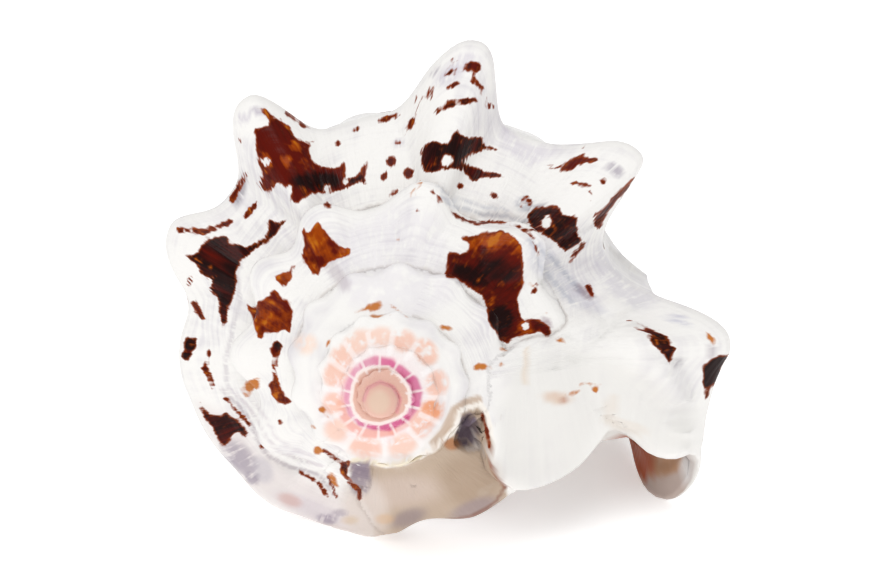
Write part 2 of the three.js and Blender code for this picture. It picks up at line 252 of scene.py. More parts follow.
def knobHeight(turn, row, radius, axial):
    shoulder = toShoulder(turn)
    keel = keelHeight(turn)
    away = np.hypot(radius - shoulder, axial - shell["profile"][shell["shoulderRow"]][1] * shoulder)
    dip = keel * np.exp(-((away / (knobs["dipReach"] * shoulder)) ** 2))
    blunt = knobs["tipRound"] * shoulder / shell["shoulderRadius"]
    slope = np.where(row < shell["shoulderRow"], knobs["rampSlope"], knobs["flankSlope"])
    cone = np.maximum(0, keel - slope * (np.hypot(away, blunt) - blunt))
    height = np.where(keel < 0, dip, cone)
    for place, rise, first, start in knobs["low"]:
        wave = np.maximum(0, np.cos(np.radians((turn - first) / knobs["lowSpacing"] * 360)))
        worn = 1 - knobs["lowWorn"] * smoothStep(*knobs["wornTurns"], turn)
        bump = rise * worn * wave * np.exp(-(((row - place) / knobs["lowWidth"]) ** 2))
        height = height + np.where(turn > start, bump, 0)
    return height


def bent(points):
    lean = 1 - smoothStep(0, shell["leanReach"], points[..., 1])
    along = np.maximum(0, (points[..., 1] - shell["bendFrom"]) / (shell["length"] - shell["bendFrom"])) ** 2
    for way, leaning, bend in zip((0, 2), shell["apexLean"], shell["canalBend"]):
        points[..., way] += leaning * lean
        points[..., way] += bend * along
    return points


def placed(turn, radius, axial):
    turn, radius, axial = np.broadcast_arrays(np.radians(turn), radius, axial)
    return bent(np.stack([radius * np.sin(turn), axial, radius * np.cos(turn)], -1))


# points of the last whorl and of the lip beyond it, past 0 to 1
def shellPoints(turn, row, past, raised, end):
    turn, row, past = np.broadcast_arrays(turn, row, past)
    radius, axial = whorlPoint(turn, row, end)
    lift = knobHeight(turn, row, radius, axial)
    lift = lift if raised else np.minimum(0, lift)
    tilt = math.radians(knobs["tilt"])
    start = placed(turn, radius + lift * math.cos(tilt), axial - lift * math.sin(tilt))
    side, back, depth = np.moveaxis(throughKeys(lip["margin"], row), -1, 0)
    margin = bent(np.stack([side, depth, back], -1))
    bow = np.where(row < lip["bow"][0][0], 0, throughKeys(lip["bow"], row)[..., 0])
    points = blend(start, margin, past[..., None])
    points[..., 0] += bow * 4 * past * (1 - past) - lift * past * (1 - past)
    return points


# soft random lumps between -1 and 1 on a lattice of the given size; the odd numbers only stir it
def lumps(points, size, seed):
    p = points / size
    cell = np.floor(p)
    f = p - cell
    f = f * f * (3 - 2 * f)
    total = np.zeros(p.shape[:-1])
    for corner in range(8):
        step = np.array([corner & 1, corner >> 1 & 1, corner >> 2 & 1])
        key = (cell + step) @ np.array([127.1, 311.7, 74.7]) + seed * 53.3
        value = np.sin(key) * 43758.5453
        weight = np.prod(np.where(step == 1, f, 1 - f), -1)
        total += weight * ((value - np.floor(value)) * 2 - 1)
    return total


def gridNormals(points):
    across = np.gradient(points, axis=0)
    along = np.gradient(points, axis=1)
    normals = np.cross(across, along)
    return normals / np.maximum(1e-9, np.linalg.norm(normals, axis=-1, keepdims=True))


# growth wrinkles, spiral cords and a little unevenness, in mm; wrinkles are stronger above the shoulder
relief = {
    "wrinkle": 0.15,
    "wrinkleSpacing": 1.7,
    "wrinklePerRow": 0.35,
    "wrinkleLow": 0.6,
    "wrinkleMore": 1.5,
    "wrinkleRows": (1.5, 3.8),
    "courseShare": 0.9,
    "warp": 1.6,
    "warpSize": 9,
    "cord": 0.10,
    "cordSpacing": 3.1,
    "cordRows": (5.6, 7.5),
    "cordFrom": 0.9,
    "uneven": 0.26,
    "unevenSize": 6.5,
    "spireFade": 1.5,
}


def roughened(points, turn, row, amount):
    normals = gridNormals(points)
    course = np.radians(turn) * toShoulder(turn) * relief["courseShare"] + 0 * row
    warp = lumps(points, relief["warpSize"], 3) * relief["warp"]
    flat = [(course + warp) / relief["wrinkleSpacing"], row * relief["wrinklePerRow"], 0 * row]
    wrinkle = lumps(np.stack(flat, -1), 1.0, 5) * relief["wrinkle"]
    high = 1 - smoothStep(*relief["wrinkleRows"], row)
    wrinkle = wrinkle * (relief["wrinkleLow"] + relief["wrinkleMore"] * high)
    depth = points[..., 1] - relief["cordFrom"] * toShoulder(turn)
    cord = np.cos(depth / relief["cordSpacing"] * 2 * math.pi) * relief["cord"]
    cord = cord * smoothStep(*relief["cordRows"], row)
    uneven = lumps(points, relief["unevenSize"], 7) * relief["uneven"]
    height = (wrinkle + cord + uneven) * amount
    return points + normals * height[..., None]


# rows evenly spaced on the whorl's profile, stretch by stretch
def evenRows(stretches, last, turn, length):
    rows = [np.zeros(1)]
    ends = [first for first, spacing in stretches[1:]] + [last]
    for (start, spacing), end in zip(stretches, ends):
        row = np.linspace(start, end, mesh["samples"])
        radius, axial = whorlPoint(np.full_like(row, turn), row, length)
        travel = np.concatenate([[0], np.cumsum(np.hypot(np.diff(radius), np.diff(axial)))])
        count = max(3, int(round(travel[-1] / spacing)) + 1)
        rows.append(np.interp(np.linspace(0, travel[-1], count), travel, row)[1:])
    return np.concatenate(rows)


sources = {"points": [], "facts": []}


def remember(points, facts):
    sources["points"].append(points.reshape(-1, 3))
    facts = [np.broadcast_to(fact, points.shape[:-1]).reshape(-1) for fact in facts]
    sources["facts"].append(np.stack(facts, -1))


def toFrame(points):
    pitch, roll = math.radians(rest["pitch"]), math.radians(rest["roll"])
    turned = Matrix.Rotation(-roll, 3, "Y") @ Matrix.Rotation(-pitch, 3, "X")
    return (points @ np.array(turned).T + np.array(rest["offset"])) * 0.001


def addObject(name, data):
    added = bpy.data.objects.new(name, data)
    bpy.context.collection.objects.link(added)
    return added


def solidFromLoops(name, loops, capStart, capEnd):
    steps, count = loops.shape[:2]
    faces = []
    for i in range(steps - 1):
        for j in range(count):
            a, b = i * count + j, i * count + (j + 1) % count
            faces.append((a, a + count, b + count, b))
    offset = (steps - 1) * count
    faces += [tuple(face) for face in capStart]
    faces += [tuple(offset + n for n in reversed(face)) for face in capEnd]
    made = bpy.data.meshes.new(name)
    made.from_pydata(toFrame(loops).reshape(-1, 3).tolist(), [], faces)
    made.validate()
    return addObject(name, made)


# joins the outer and the inner edge of an end, rows of the same height with each other
def capAcross(outer, inner):
    faces, i, j = [], 0, 0
    total = len(outer) + len(inner)
    while i < len(outer) - 1 or j < len(inner) - 1:
        innerNow = total - 1 - j
        if j >= len(inner) - 1 or (i < len(outer) - 1 and outer[i + 1] <= inner[j + 1]):
            faces.append((i, i + 1, innerNow))
            i += 1
        else:
            faces.append((i, innerNow - 1, innerNow))
            j += 1
    return faces


# a whorl starts a little sunk into the one before it
def sunk(points, turn, start, amount):
    sink = 1 - amount * (1 - smoothStep(start, start + shell["sinkSpan"], turn))
    points[..., 0] *= sink
    points[..., 2] *= sink


# most of a turn of a whorl, solid to the axis
def whorlSolid(name, start, rows, end, spacing):
    shoulder = toShoulder(start + shell["solidSpan"] / 2)
    steps = int(math.radians(shell["solidSpan"]) * shoulder / spacing)
    turn = np.linspace(start, start + shell["solidSpan"], steps)[:, None]
    row = rows[None, :]
    points = shellPoints(turn, row, 0 * turn, True, end)
    # kept smooth where the callus lies close over it
    covered = smoothStep(*callus["covers"][:2], turn) * (1 - smoothStep(*callus["covers"][2:], turn))
    small = np.clip(relief["spireFade"] * toShoulder(turn) / shell["shoulderRadius"], 0, 1) * (1 - covered)
    points = roughened(points, turn, row + 0 * turn, small)
    sunk(points, turn, start, shell["startSink"])
    remember(points, (turn, row, 0, 0))
    axis = np.array([[0, end, 0], [0, shell["lidDepth"] * toShoulder(start + shell["lidTurn"]), 0]])
    axis = bent(axis.astype(float))
    loops = np.concatenate([points, np.broadcast_to(axis, (steps, 2, 3))], 1)
    count = len(rows)
    fan = [(count + 1, j, j + 1) for j in range(count - 1)] + [(count + 1, count - 1, count)]
    return solidFromLoops(name, loops, fan, fan)


# the ring at an angle of the rounding that runs over from one face of the wall to the other
def rounded(face, otherFace, ahead, angle):
    middle = (face + otherFace) / 2
    half = np.linalg.norm(face - otherFace, axis=-1, keepdims=True) / 2
    return (middle + (face - middle) * math.cos(angle) + ahead * half * math.sin(angle))[None]


def lastWhorl():
    end = shell["length"] - lip["canalGap"]
    first, lipTurn = shell["solidEnd"] - shell["solidOverlap"], shell["lipTurn"]
    turnSteps = int(math.radians(lipTurn - first) * shell["shoulderRadius"] / mesh["fine"])
    pastSteps = int(lip["reach"] / mesh["fine"])
    beyond = np.linspace(0, lip["lastPast"], pastSteps + 1)[1:]
    turn = np.concatenate([np.linspace(first, lipTurn, turnSteps), np.full(pastSteps, lipTurn)])[:, None]
    past = np.concatenate([np.zeros(turnSteps), beyond])[:, None]
    outerRow = evenRows(mesh["outer"], shell["tipRow"], mesh["lastTurn"], end)[None, :]
    innerRow = evenRows(mesh["inner"], shell["tipRow"], mesh["lastTurn"], end)[None, :]
    outer = shellPoints(turn, outerRow, past, True, end)
    outer = roughened(outer, turn + 0 * outerRow, outerRow + 0 * turn, 1 - lip["worn"] * past)

    def inside(turnNow, rowNow, pastNow):
        return shellPoints(turnNow, np.clip(rowNow, 0, shell["tipRow"]), np.clip(pastNow, 0, 1), False, end)

    # the outside moved inwards, square to the surface as small steps over it feel it
    def wallPoints(row, thick):
        rowStep, pastStep, turnStep = 0.1, 0.05, 1
        onLip = (past > 0)[..., None]
        along = inside(turn, row + rowStep, past) - inside(turn, row - rowStep, past)
        ahead = np.where(onLip, inside(turn, row, past + pastStep), inside(turn + turnStep, row, past))
        behind = np.where(onLip, inside(turn, row, past - pastStep), inside(turn - turnStep, row, past))
        inward = np.cross(along, ahead - behind)
        inward /= np.linalg.norm(inward, axis=-1, keepdims=True)
        return inside(turn, row, past) + inward * thick[..., None]

    # the wall thins towards the margin, earlier and more at the notch
    def thickAt(row):
        begin, full, ebb, gone = lip["notchRows"]
        notch = smoothStep(begin, full, row) * (1 - smoothStep(ebb, gone, row))
        thin = smoothStep(blend(lip["thinFrom"], lip["notchFrom"], notch), 1, past)
        return shell["wall"] * blend(1, blend(lip["thin"], lip["notchThin"], notch), thin)

    inner = wallPoints(innerRow, thickAt(innerRow))
    innerAtOuter = wallPoints(outerRow, thickAt(outerRow))[-1]
    sunk(outer, turn, first, shell["lastSink"])

    # the margin is rounded over from both faces
    outerAtInner = shellPoints(turn[-1:], innerRow, past[-1:], False, end)[0]
    ahead = outer[-1] - outer[-4]
    ahead /= np.linalg.norm(ahead, axis=-1, keepdims=True)
    aheadInner = np.stack([np.interp(innerRow[0], outerRow[0], ahead[:, n]) for n in range(3)], -1)
    angles = np.radians(lip["roundSteps"])
    outer = np.concatenate([outer, *(rounded(outer[-1], innerAtOuter, ahead, a) for a in angles)])
    inner = np.concatenate([inner, *(rounded(inner[-1], outerAtInner, aheadInner, a) for a in angles)])
    turnAll = np.concatenate([turn, np.full((len(angles), 1), lipTurn)])
    pastAll = np.concatenate([past, np.ones((len(angles), 1))])
    remember(outer, (turnAll, outerRow, pastAll, 0))
    remember(inner, (turnAll, innerRow, pastAll, 1))
    loops = np.concatenate([outer, inner[:, ::-1]], 1)
    cap = capAcross(outerRow[0], innerRow[0])
    return solidFromLoops("lastWhorl", loops, cap, cap)


def callusSolid():
    first, last = callus["from"], callus["to"]
    turnSteps, rowSteps = callus["steps"]
    turn = np.linspace(first, last, turnSteps)[:, None]
    place = np.linspace(0, len(callus["rows"]) - 1, rowSteps)
    growth = toShoulder(turn) / toShoulder(callus["turn"])
    fade = callus["fade"][0] * (1 - smoothStep(first, first + callus["fadeSpans"][0], turn))
    fade = fade + callus["fade"][1] * smoothStep(last - callus["fadeSpans"][1], last, turn)
    canal = callus["canalDepth"] * (1 - smoothStep(*callus["canalTurns"], turn))
    flare = callus["rimFlare"] * (1 - smoothStep(first, callus["rimTurn"], turn))
    rows = through(callus["rows"], place)
    dip = np.minimum(0, keelHeight(turn)) * place[None, :] / (len(callus["rows"]) - 1)
    rim = (1 - smoothStep(callus["rimRows"] - 1, callus["rimRows"], place))[None, :]
    radius = rows[:, 0] * growth + flare * blend(callus["lowFlare"], 1, rim) + dip
    axial = rows[:, 1] * growth + fade + canal * (1 - rim)
    outer = placed(turn, radius, axial)
    sideways, down = callus["sunk"]
    inner = placed(turn, rows[:, 0] * growth - sideways * callus["thickness"] + dip,
                   rows[:, 1] * growth + down * callus["thickness"])
    remember(outer, (turn, place[None, :], 0, 2))
    loops = np.concatenate([outer, inner[:, ::-1]], 1)
    cap = capAcross(place, place)
    return solidFromLoops("callus", loops, cap, cap)


# the first bud of the shell, a ball pressed a little flat; its turn is before all others
def budSolid():
    bm = bmesh.new()
    bmesh.ops.create_uvsphere(bm, u_segments=32, v_segments=20, radius=shell["bud"])
    flat, down = np.array([1, shell["budFlat"], 1]), np.array([0, shell["budFlat"] * shell["bud"], 0])
    points = bent(np.array([v.co for v in bm.verts]) * flat + down)
    remember(points, (-2400, 3, 0, 0))
    made = bpy.data.meshes.new("bud")
    for vertex, point in zip(bm.verts, toFrame(points)):
        vertex.co = point
    bm.to_mesh(made)
    bm.free()
    return addObject("bud", made)


def joined(first, second):
    cut = first.modifiers.new("union", "BOOLEAN")
    cut.operation = "UNION"
    cut.solver = "MANIFOLD"
    cut.object = second
    graph = bpy.context.evaluated_depsgraph_get()
    result = bpy.data.meshes.new_from_object(first.evaluated_get(graph))
    first.modifiers.clear()
    first.data = result
    bpy.data.objects.remove(second)
    return first


print("making whorls")
start = shell["solidEnd"] - shell["solidSpan"]
rows = evenRows(mesh["first"], mesh["firstTip"], mesh["firstTurn"], shell["length"])
piece = whorlSolid("conch", start, rows, shell["length"], mesh["fine"])
for index in range(1, shell["solidCount"]):
    start = start - shell["solidSpan"] + shell["solidOverlap"]
    end = shell["spireDepth"] * toShoulder(start + 360)
    size = toShoulder(start + 180) / mesh["spireRadius"]
    spacing = mesh["fine"] * float(np.clip(size, mesh["spireFinest"], 1))
    rows = evenRows([(0, spacing)], mesh["spireRow"], start + 180, end)
    piece = joined(piece, whorlSolid("whorl", start, rows, end, spacing))
piece = joined(piece, budSolid())
piece = joined(piece, lastWhorl())
piece = joined(piece, callusSolid())


# slivers left by the joins are taken out
def cleaned(obj):
    bm = bmesh.new()
    bm.from_mesh(obj.data)
    bmesh.ops.dissolve_degenerate(bm, dist=mesh["sliver"], edges=bm.edges)
    bmesh.ops.delete(bm, geom=[v for v in bm.verts if not v.link_faces], context="VERTS")
    bmesh.ops.recalc_face_normals(bm, faces=bm.faces)
    bm.to_mesh(obj.data)
    bm.free()


cleaned(piece)
print("whorls joined", len(piece.data.vertices), "vertices", len(piece.data.polygons), "faces")


def readVertices(obj, what):
    values = np.empty(len(obj.data.vertices) * 3)
    obj.data.vertices.foreach_get(what, values)
    return values.reshape(-1, 3)


# a tree finds the nearest of its points and how far off it is
def treeOf(points):
    tree = KDTree(len(points))
    for index, point in enumerate(points):
        tree.insert(point, index)
    tree.balance()
    return tree


# what each vertex is: turn, row, past (0 at the start of the lip, 1 at its margin) and skin (0 outside,
# 1 inside, 2 callus)
tree = treeOf(toFrame(np.concatenate(sources["points"])))
place = readVertices(piece, "co")
count = len(place)
facts = np.concatenate(sources["facts"])[[tree.find(point)[1] for point in place]]
turn, row, past, skin = facts.T
edges = np.empty(len(piece.data.edges) * 2, int)
piece.data.edges.foreach_get("vertices", edges)
edges = edges.reshape(-1, 2)
print("facts found")

# the camera stands where the photograph was taken from: right, up and back in the shell's frame, mm
eye = {
    "azimuth": 5,
    "elevation": 15,
    "shift": (5.265, 10.725, 585.0),
    "lens": 248.276,
    "sensor": 36,
    "width": 870,
    "height": 580,
    "pixelsPerMm": 10,
    "grazing": (0.02, 0.03, 0.2),
    "lift": 0.0003,
}
azimuth, elevation = math.radians(eye["azimuth"]), math.radians(eye["elevation"])
rightWay = np.array([math.cos(azimuth), math.sin(azimuth), 0])
levelWay = np.array([math.sin(azimuth), -math.cos(azimuth), 0])
backWay = levelWay * math.cos(elevation) + np.array([0, 0, math.sin(elevation)])
upWay = np.cross(backWay, rightWay)
eyePlace = toFrame(eye["shift"][0] * rightWay + eye["shift"][1] * upWay + eye["shift"][2] * backWay)
turned = (toFrame(np.stack([rightWay, upWay, backWay])) - toFrame(np.zeros(3))) * 1000

camera = bpy.data.cameras.new("camera")
camera.lens = eye["lens"]
camera.sensor_width = eye["sensor"]
camera.clip_start = 0.05
camera.clip_end = 20
cameraObject = addObject("camera", camera)
cameraObject.matrix_world = Matrix.Translation(Vector(eyePlace)) @ Matrix(turned.T.tolist()).to_4x4()
bpy.context.scene.camera = cameraObject


# picture place of each vertex in pixels, and how well it is seen, 0 to 1
def picture(place, facing, hidden):
    away = place - eyePlace
    depth = -(away @ turned[2])
    pixels = eye["lens"] / eye["sensor"] * eye["width"]
    across = eye["width"] / 2 + away @ turned[0] / depth * pixels
    down = eye["height"] / 2 - away @ turned[1] / depth * pixels
    sight = -np.sum(away * facing, 1) / np.linalg.norm(away, axis=1)
    least, dim, clear = eye["grazing"]
    seen = np.zeros(len(place))
    for index in np.nonzero(sight > least)[0]:
        start = Vector(place[index] + facing[index] * eye["lift"])
        seen[index] = hidden.ray_cast(start, (Vector(eyePlace) - start).normalized())[0] is None
    return across, down, seen * smoothStep(dim, clear, sight)


# distance in pixels from each place to a straight stretch of a line
def fromStretch(x, y, ax, ay, bx, by):
    t = np.clip(((x - ax) * (bx - ax) + (y - ay) * (by - ay)) / ((bx - ax) ** 2 + (by - ay) ** 2), 0, 1)
    return np.hypot(x - ax - t * (bx - ax), y - ay - t * (by - ay))


# distance to a line in mm on the picture, positive to its right as it runs, and to its nearer end
def beside(line, x, y):
    line = np.array(line, float)
    nearest, side = np.full(len(x), 1e9), np.ones(len(x))
    for (ax, ay), (bx, by) in zip(line[:-1], line[1:]):
        far = fromStretch(x, y, ax, ay, bx, by)
        side = np.where(far < nearest, np.sign((bx - ax) * (y - ay) - (by - ay) * (x - ax)), side)
        nearest = np.minimum(nearest, far)
    ends = np.minimum(np.hypot(x - line[0, 0], y - line[0, 1]), np.hypot(x - line[-1, 0], y - line[-1, 1]))
    return nearest * side / eye["pixelsPerMm"], ends / eye["pixelsPerMm"]


# how far inside an outline a vertex is, in mm on the picture
def insideOutline(edge, x, y):
    edge = np.array(edge, float)
    nearest = np.full(len(x), 1e9)
    crossings = np.zeros(len(x), bool)
    for (ax, ay), (bx, by) in zip(edge, np.roll(edge, -1, 0)):
        nearest = np.minimum(nearest, fromStretch(x, y, ax, ay, bx, by))
        crossings ^= ((ay > y) != (by > y)) & (x < (bx - ax) * (y - ay) / (by - ay + 1e-9) + ax)
    return np.where(crossings, nearest, -nearest) / eye["pixelsPerMm"]


# a dot is x, y and radius, or x, y, its two radii and its tilt in degrees
def insideDot(dot, x, y):
    dx, dy, along, short, tilt = dot if len(dot) == 5 else (*dot, dot[2], 0)
    tilt = math.radians(tilt)
    u = (x - dx) * math.cos(tilt) + (y - dy) * math.sin(tilt)
    v = (y - dy) * math.cos(tilt) - (x - dx) * math.sin(tilt)
    return (1 - np.hypot(u / along, v / short)) * short / eye["pixelsPerMm"]


# folds beside the suture at the lower left, which are both formed and painted with shade along their grooves
folds = [
    [(222, 390), (238, 405), (250, 420), (258, 440), (268, 456), (290, 467), (318, 474), (334, 494)],
    [(232, 390), (247, 405), (259, 422), (266, 438), (280, 452), (302, 460), (322, 466)],
    [(242, 390), (257, 406), (269, 424), (278, 440), (294, 450), (314, 456)],
]

# small forms where the photograph shows them, pixels for the place and mm for the rest
forms = {
    # a patch is moved to the right and up on the picture: place, reach and move
    "pushes": [
        ((252, 98), 9, (0.25, -0.9)),
        ((628, 150), 8, (-0.5, -0.2)),
        ((478, 46), 7, (0.0, -0.4)),
    ],
    "endFade": 1.2,
    # an edge stands up to the right of its line and fades over a width: height, softness, fade and line
    "steps": [
        (1.0, 1.1, 5.5, [(662, 352), (672, 364), (683, 382), (690, 398), (692, 414), (691, 430), (687, 444),
                         (680, 452), (668, 455), (652, 451), (640, 441), (628, 431)]),
        (0.6, 0.4, 3.0, [(508, 352), (512, 343), (521, 337), (535, 334), (551, 337)]),
        (0.5, 0.4, 3.0, [(506, 486), (497, 478), (491, 466), (490, 446), (489, 430), (485, 414)]),
        (-0.3, 0.6, 2.0, [(604, 356), (585, 359), (566, 366)]),
    ],
    # ridges and grooves: height, half width and line
    "ridges": [
        (0.5, 0.35, [(352, 462), (372, 461), (398, 463), (420, 457), (434, 449), (445, 438), (455, 426),
                     (459, 414), (468, 408), (480, 405), (487, 412)]),
        (0.5, 1.8, [(604, 318), (632, 338), (652, 372), (672, 410), (680, 436)]),
        (0.4, 1.2, [(530, 302), (560, 320), (592, 345), (612, 352)]),
        (-0.35, 0.45, [(526, 346), (524, 362), (522, 388)]),
        (-0.5, 0.9, [(630, 343), (640, 352), (646, 368)]),
        (-0.5, 0.45, [(448, 206), (470, 216), (500, 222), (524, 226), (541, 246), (548, 290)]),
        (-0.25, 0.35, [(440, 196), (455, 207), (480, 214), (505, 216), (528, 220)]),
        (-0.2, 0.35, [(438, 186), (452, 198), (478, 206), (505, 209)]),
        (-0.4, 0.8, [(548, 262), (575, 290), (600, 312), (632, 330)]),
        (-0.3, 0.5, [(527, 262), (550, 290), (572, 306)]),
        (-0.35, 0.45, folds[0]),
        (-0.22, 0.4, folds[1]),
        (-0.16, 0.4, folds[2]),
        (-0.5, 0.5, [(320, 452), (338, 462), (348, 480)]),
    ],
    # the hollow behind the callus's rim
    "hollow": [(455, 440), (458, 424), (464, 414), (474, 409), (483, 411), (488, 426), (490, 446),
               (481, 453), (466, 451), (456, 447)],
    "hollowDepth": 2.6,
    "hollowSoft": 0.9,
    # smoothed patches, where the lip is poured over the whorls: place and radius
    "poured": [(492, 386, 30), (506, 356, 20), (470, 398, 16), (412, 486, 28), (680, 410, 16)],
}

bvh = BVHTree.FromObject(piece, bpy.context.evaluated_depsgraph_get())
facing = readVertices(piece, "normal")
across, down, seen = picture(place, facing, bvh)
for (x, y), reach, (right, up) in forms["pushes"]:
    nearest = np.argmin(np.hypot(across - x, down - y) + 1000 * (seen < 0.5))
    far = np.linalg.norm(place - place[nearest], axis=1) * 1000
    weight = 1 - smoothStep(0.1 * reach, reach, far)
    place = place + weight[:, None] * (turned[0] * right + turned[1] * up) * 0.001
shift = np.zeros(count)
for height, soft, fade, line in forms["steps"]:
    far, ends = beside(line, across, down)
    rise = smoothStep(-soft / 2, soft / 2, far) * (1 - smoothStep(soft, fade, far))
    shift += height * rise * smoothStep(0, forms["endFade"], ends) * seen
for height, width, line in forms["ridges"]:
    far, ends = beside(line, across, down)
    shift += height * np.exp(-((far / width) ** 2)) * smoothStep(0, forms["endFade"], ends) * seen
hollow = insideOutline(forms["hollow"], across, down)
shift -= forms["hollowDepth"] * smoothStep(0, forms["hollowSoft"], hollow) * seen
place = place + facing * shift[:, None] * 0.001

# how the joins are smoothed: a little at every seam, more on the spire, much where the lip is poured over;
# reaches in mm, then rounds
smoothing = {
    "jump": 60,
    "seams": ((0.3, 1.0), 2),
    "spire": ((0.4, 1.0), 6),
    "spireTurn": -700,
    "pouredRounds": 40,
    "hollow": ((-1.2, 0), 8),
    "share": 0.5,
    "sharpAngle": 48,
    "sutureReach": 1.4,
    "sutureRounds": 6,
}
seamVertex = np.zeros(count, bool)
jump = np.abs(turn[edges[:, 0]] - turn[edges[:, 1]]) > smoothing["jump"]
seamVertex[edges[jump | (skin[edges[:, 0]] != skin[edges[:, 1]])].ravel()] = True
seamTree = treeOf(place[seamVertex])
seam = np.array([seamTree.find(point)[2] for point in place]) * 1000
degree = np.bincount(edges.ravel(), minlength=count)[:, None]


def relaxed(place, weight, rounds):
    for again in range(rounds):
        total = np.zeros_like(place)
        for n in range(3):
            total[:, n] = (np.bincount(edges[:, 0], place[edges[:, 1], n], count)
                           + np.bincount(edges[:, 1], place[edges[:, 0], n], count))
        place = place + (total / degree - place) * (smoothing["share"] * weight)[:, None]
    return place


poured = np.zeros(count)
for x, y, radius in forms["poured"]:
    far = np.hypot(across - x, down - y) / radius
    poured = np.maximum(poured, (1 - smoothStep(0.6, 1, far)) * (seen > 0))
reach, rounds = smoothing["seams"]
place = relaxed(place, 1 - smoothStep(*reach, seam), rounds)
place = relaxed(place, poured, smoothing["pouredRounds"])
reach, rounds = smoothing["hollow"]
place = relaxed(place, smoothStep(*reach, hollow) * (seen > 0), rounds)
reach, rounds = smoothing["spire"]
spire = turn < smoothing["spireTurn"]
place = relaxed(place, spire * (1 - smoothStep(*reach, seam)), rounds)
place[:, 2] = np.maximum(place[:, 2], 0)
piece.data.vertices.foreach_set("co", place.ravel())
piece.data.polygons.foreach_set("use_smooth", [True] * len(piece.data.polygons))
piece.data.set_sharp_from_angle(angle=math.radians(smoothing["sharpAngle"]))
piece.data.update()
facing = readVertices(piece, "normal")
bvh = BVHTree.FromObject(piece, bpy.context.evaluated_depsgraph_get())
across, down, seen = picture(place, facing, bvh)
# the bottoms of the sutures take the marks of their sides
for again in range(smoothing["sutureRounds"]):
    wider = seen.copy()
    np.maximum.at(wider, edges[:, 0], seen[edges[:, 1]])
    np.maximum.at(wider, edges[:, 1], seen[edges[:, 0]])
    seen = np.where(seam < smoothing["sutureReach"], wider, seen)
print("small forms made; seen", int((seen > 0.5).sum()), "of", count)

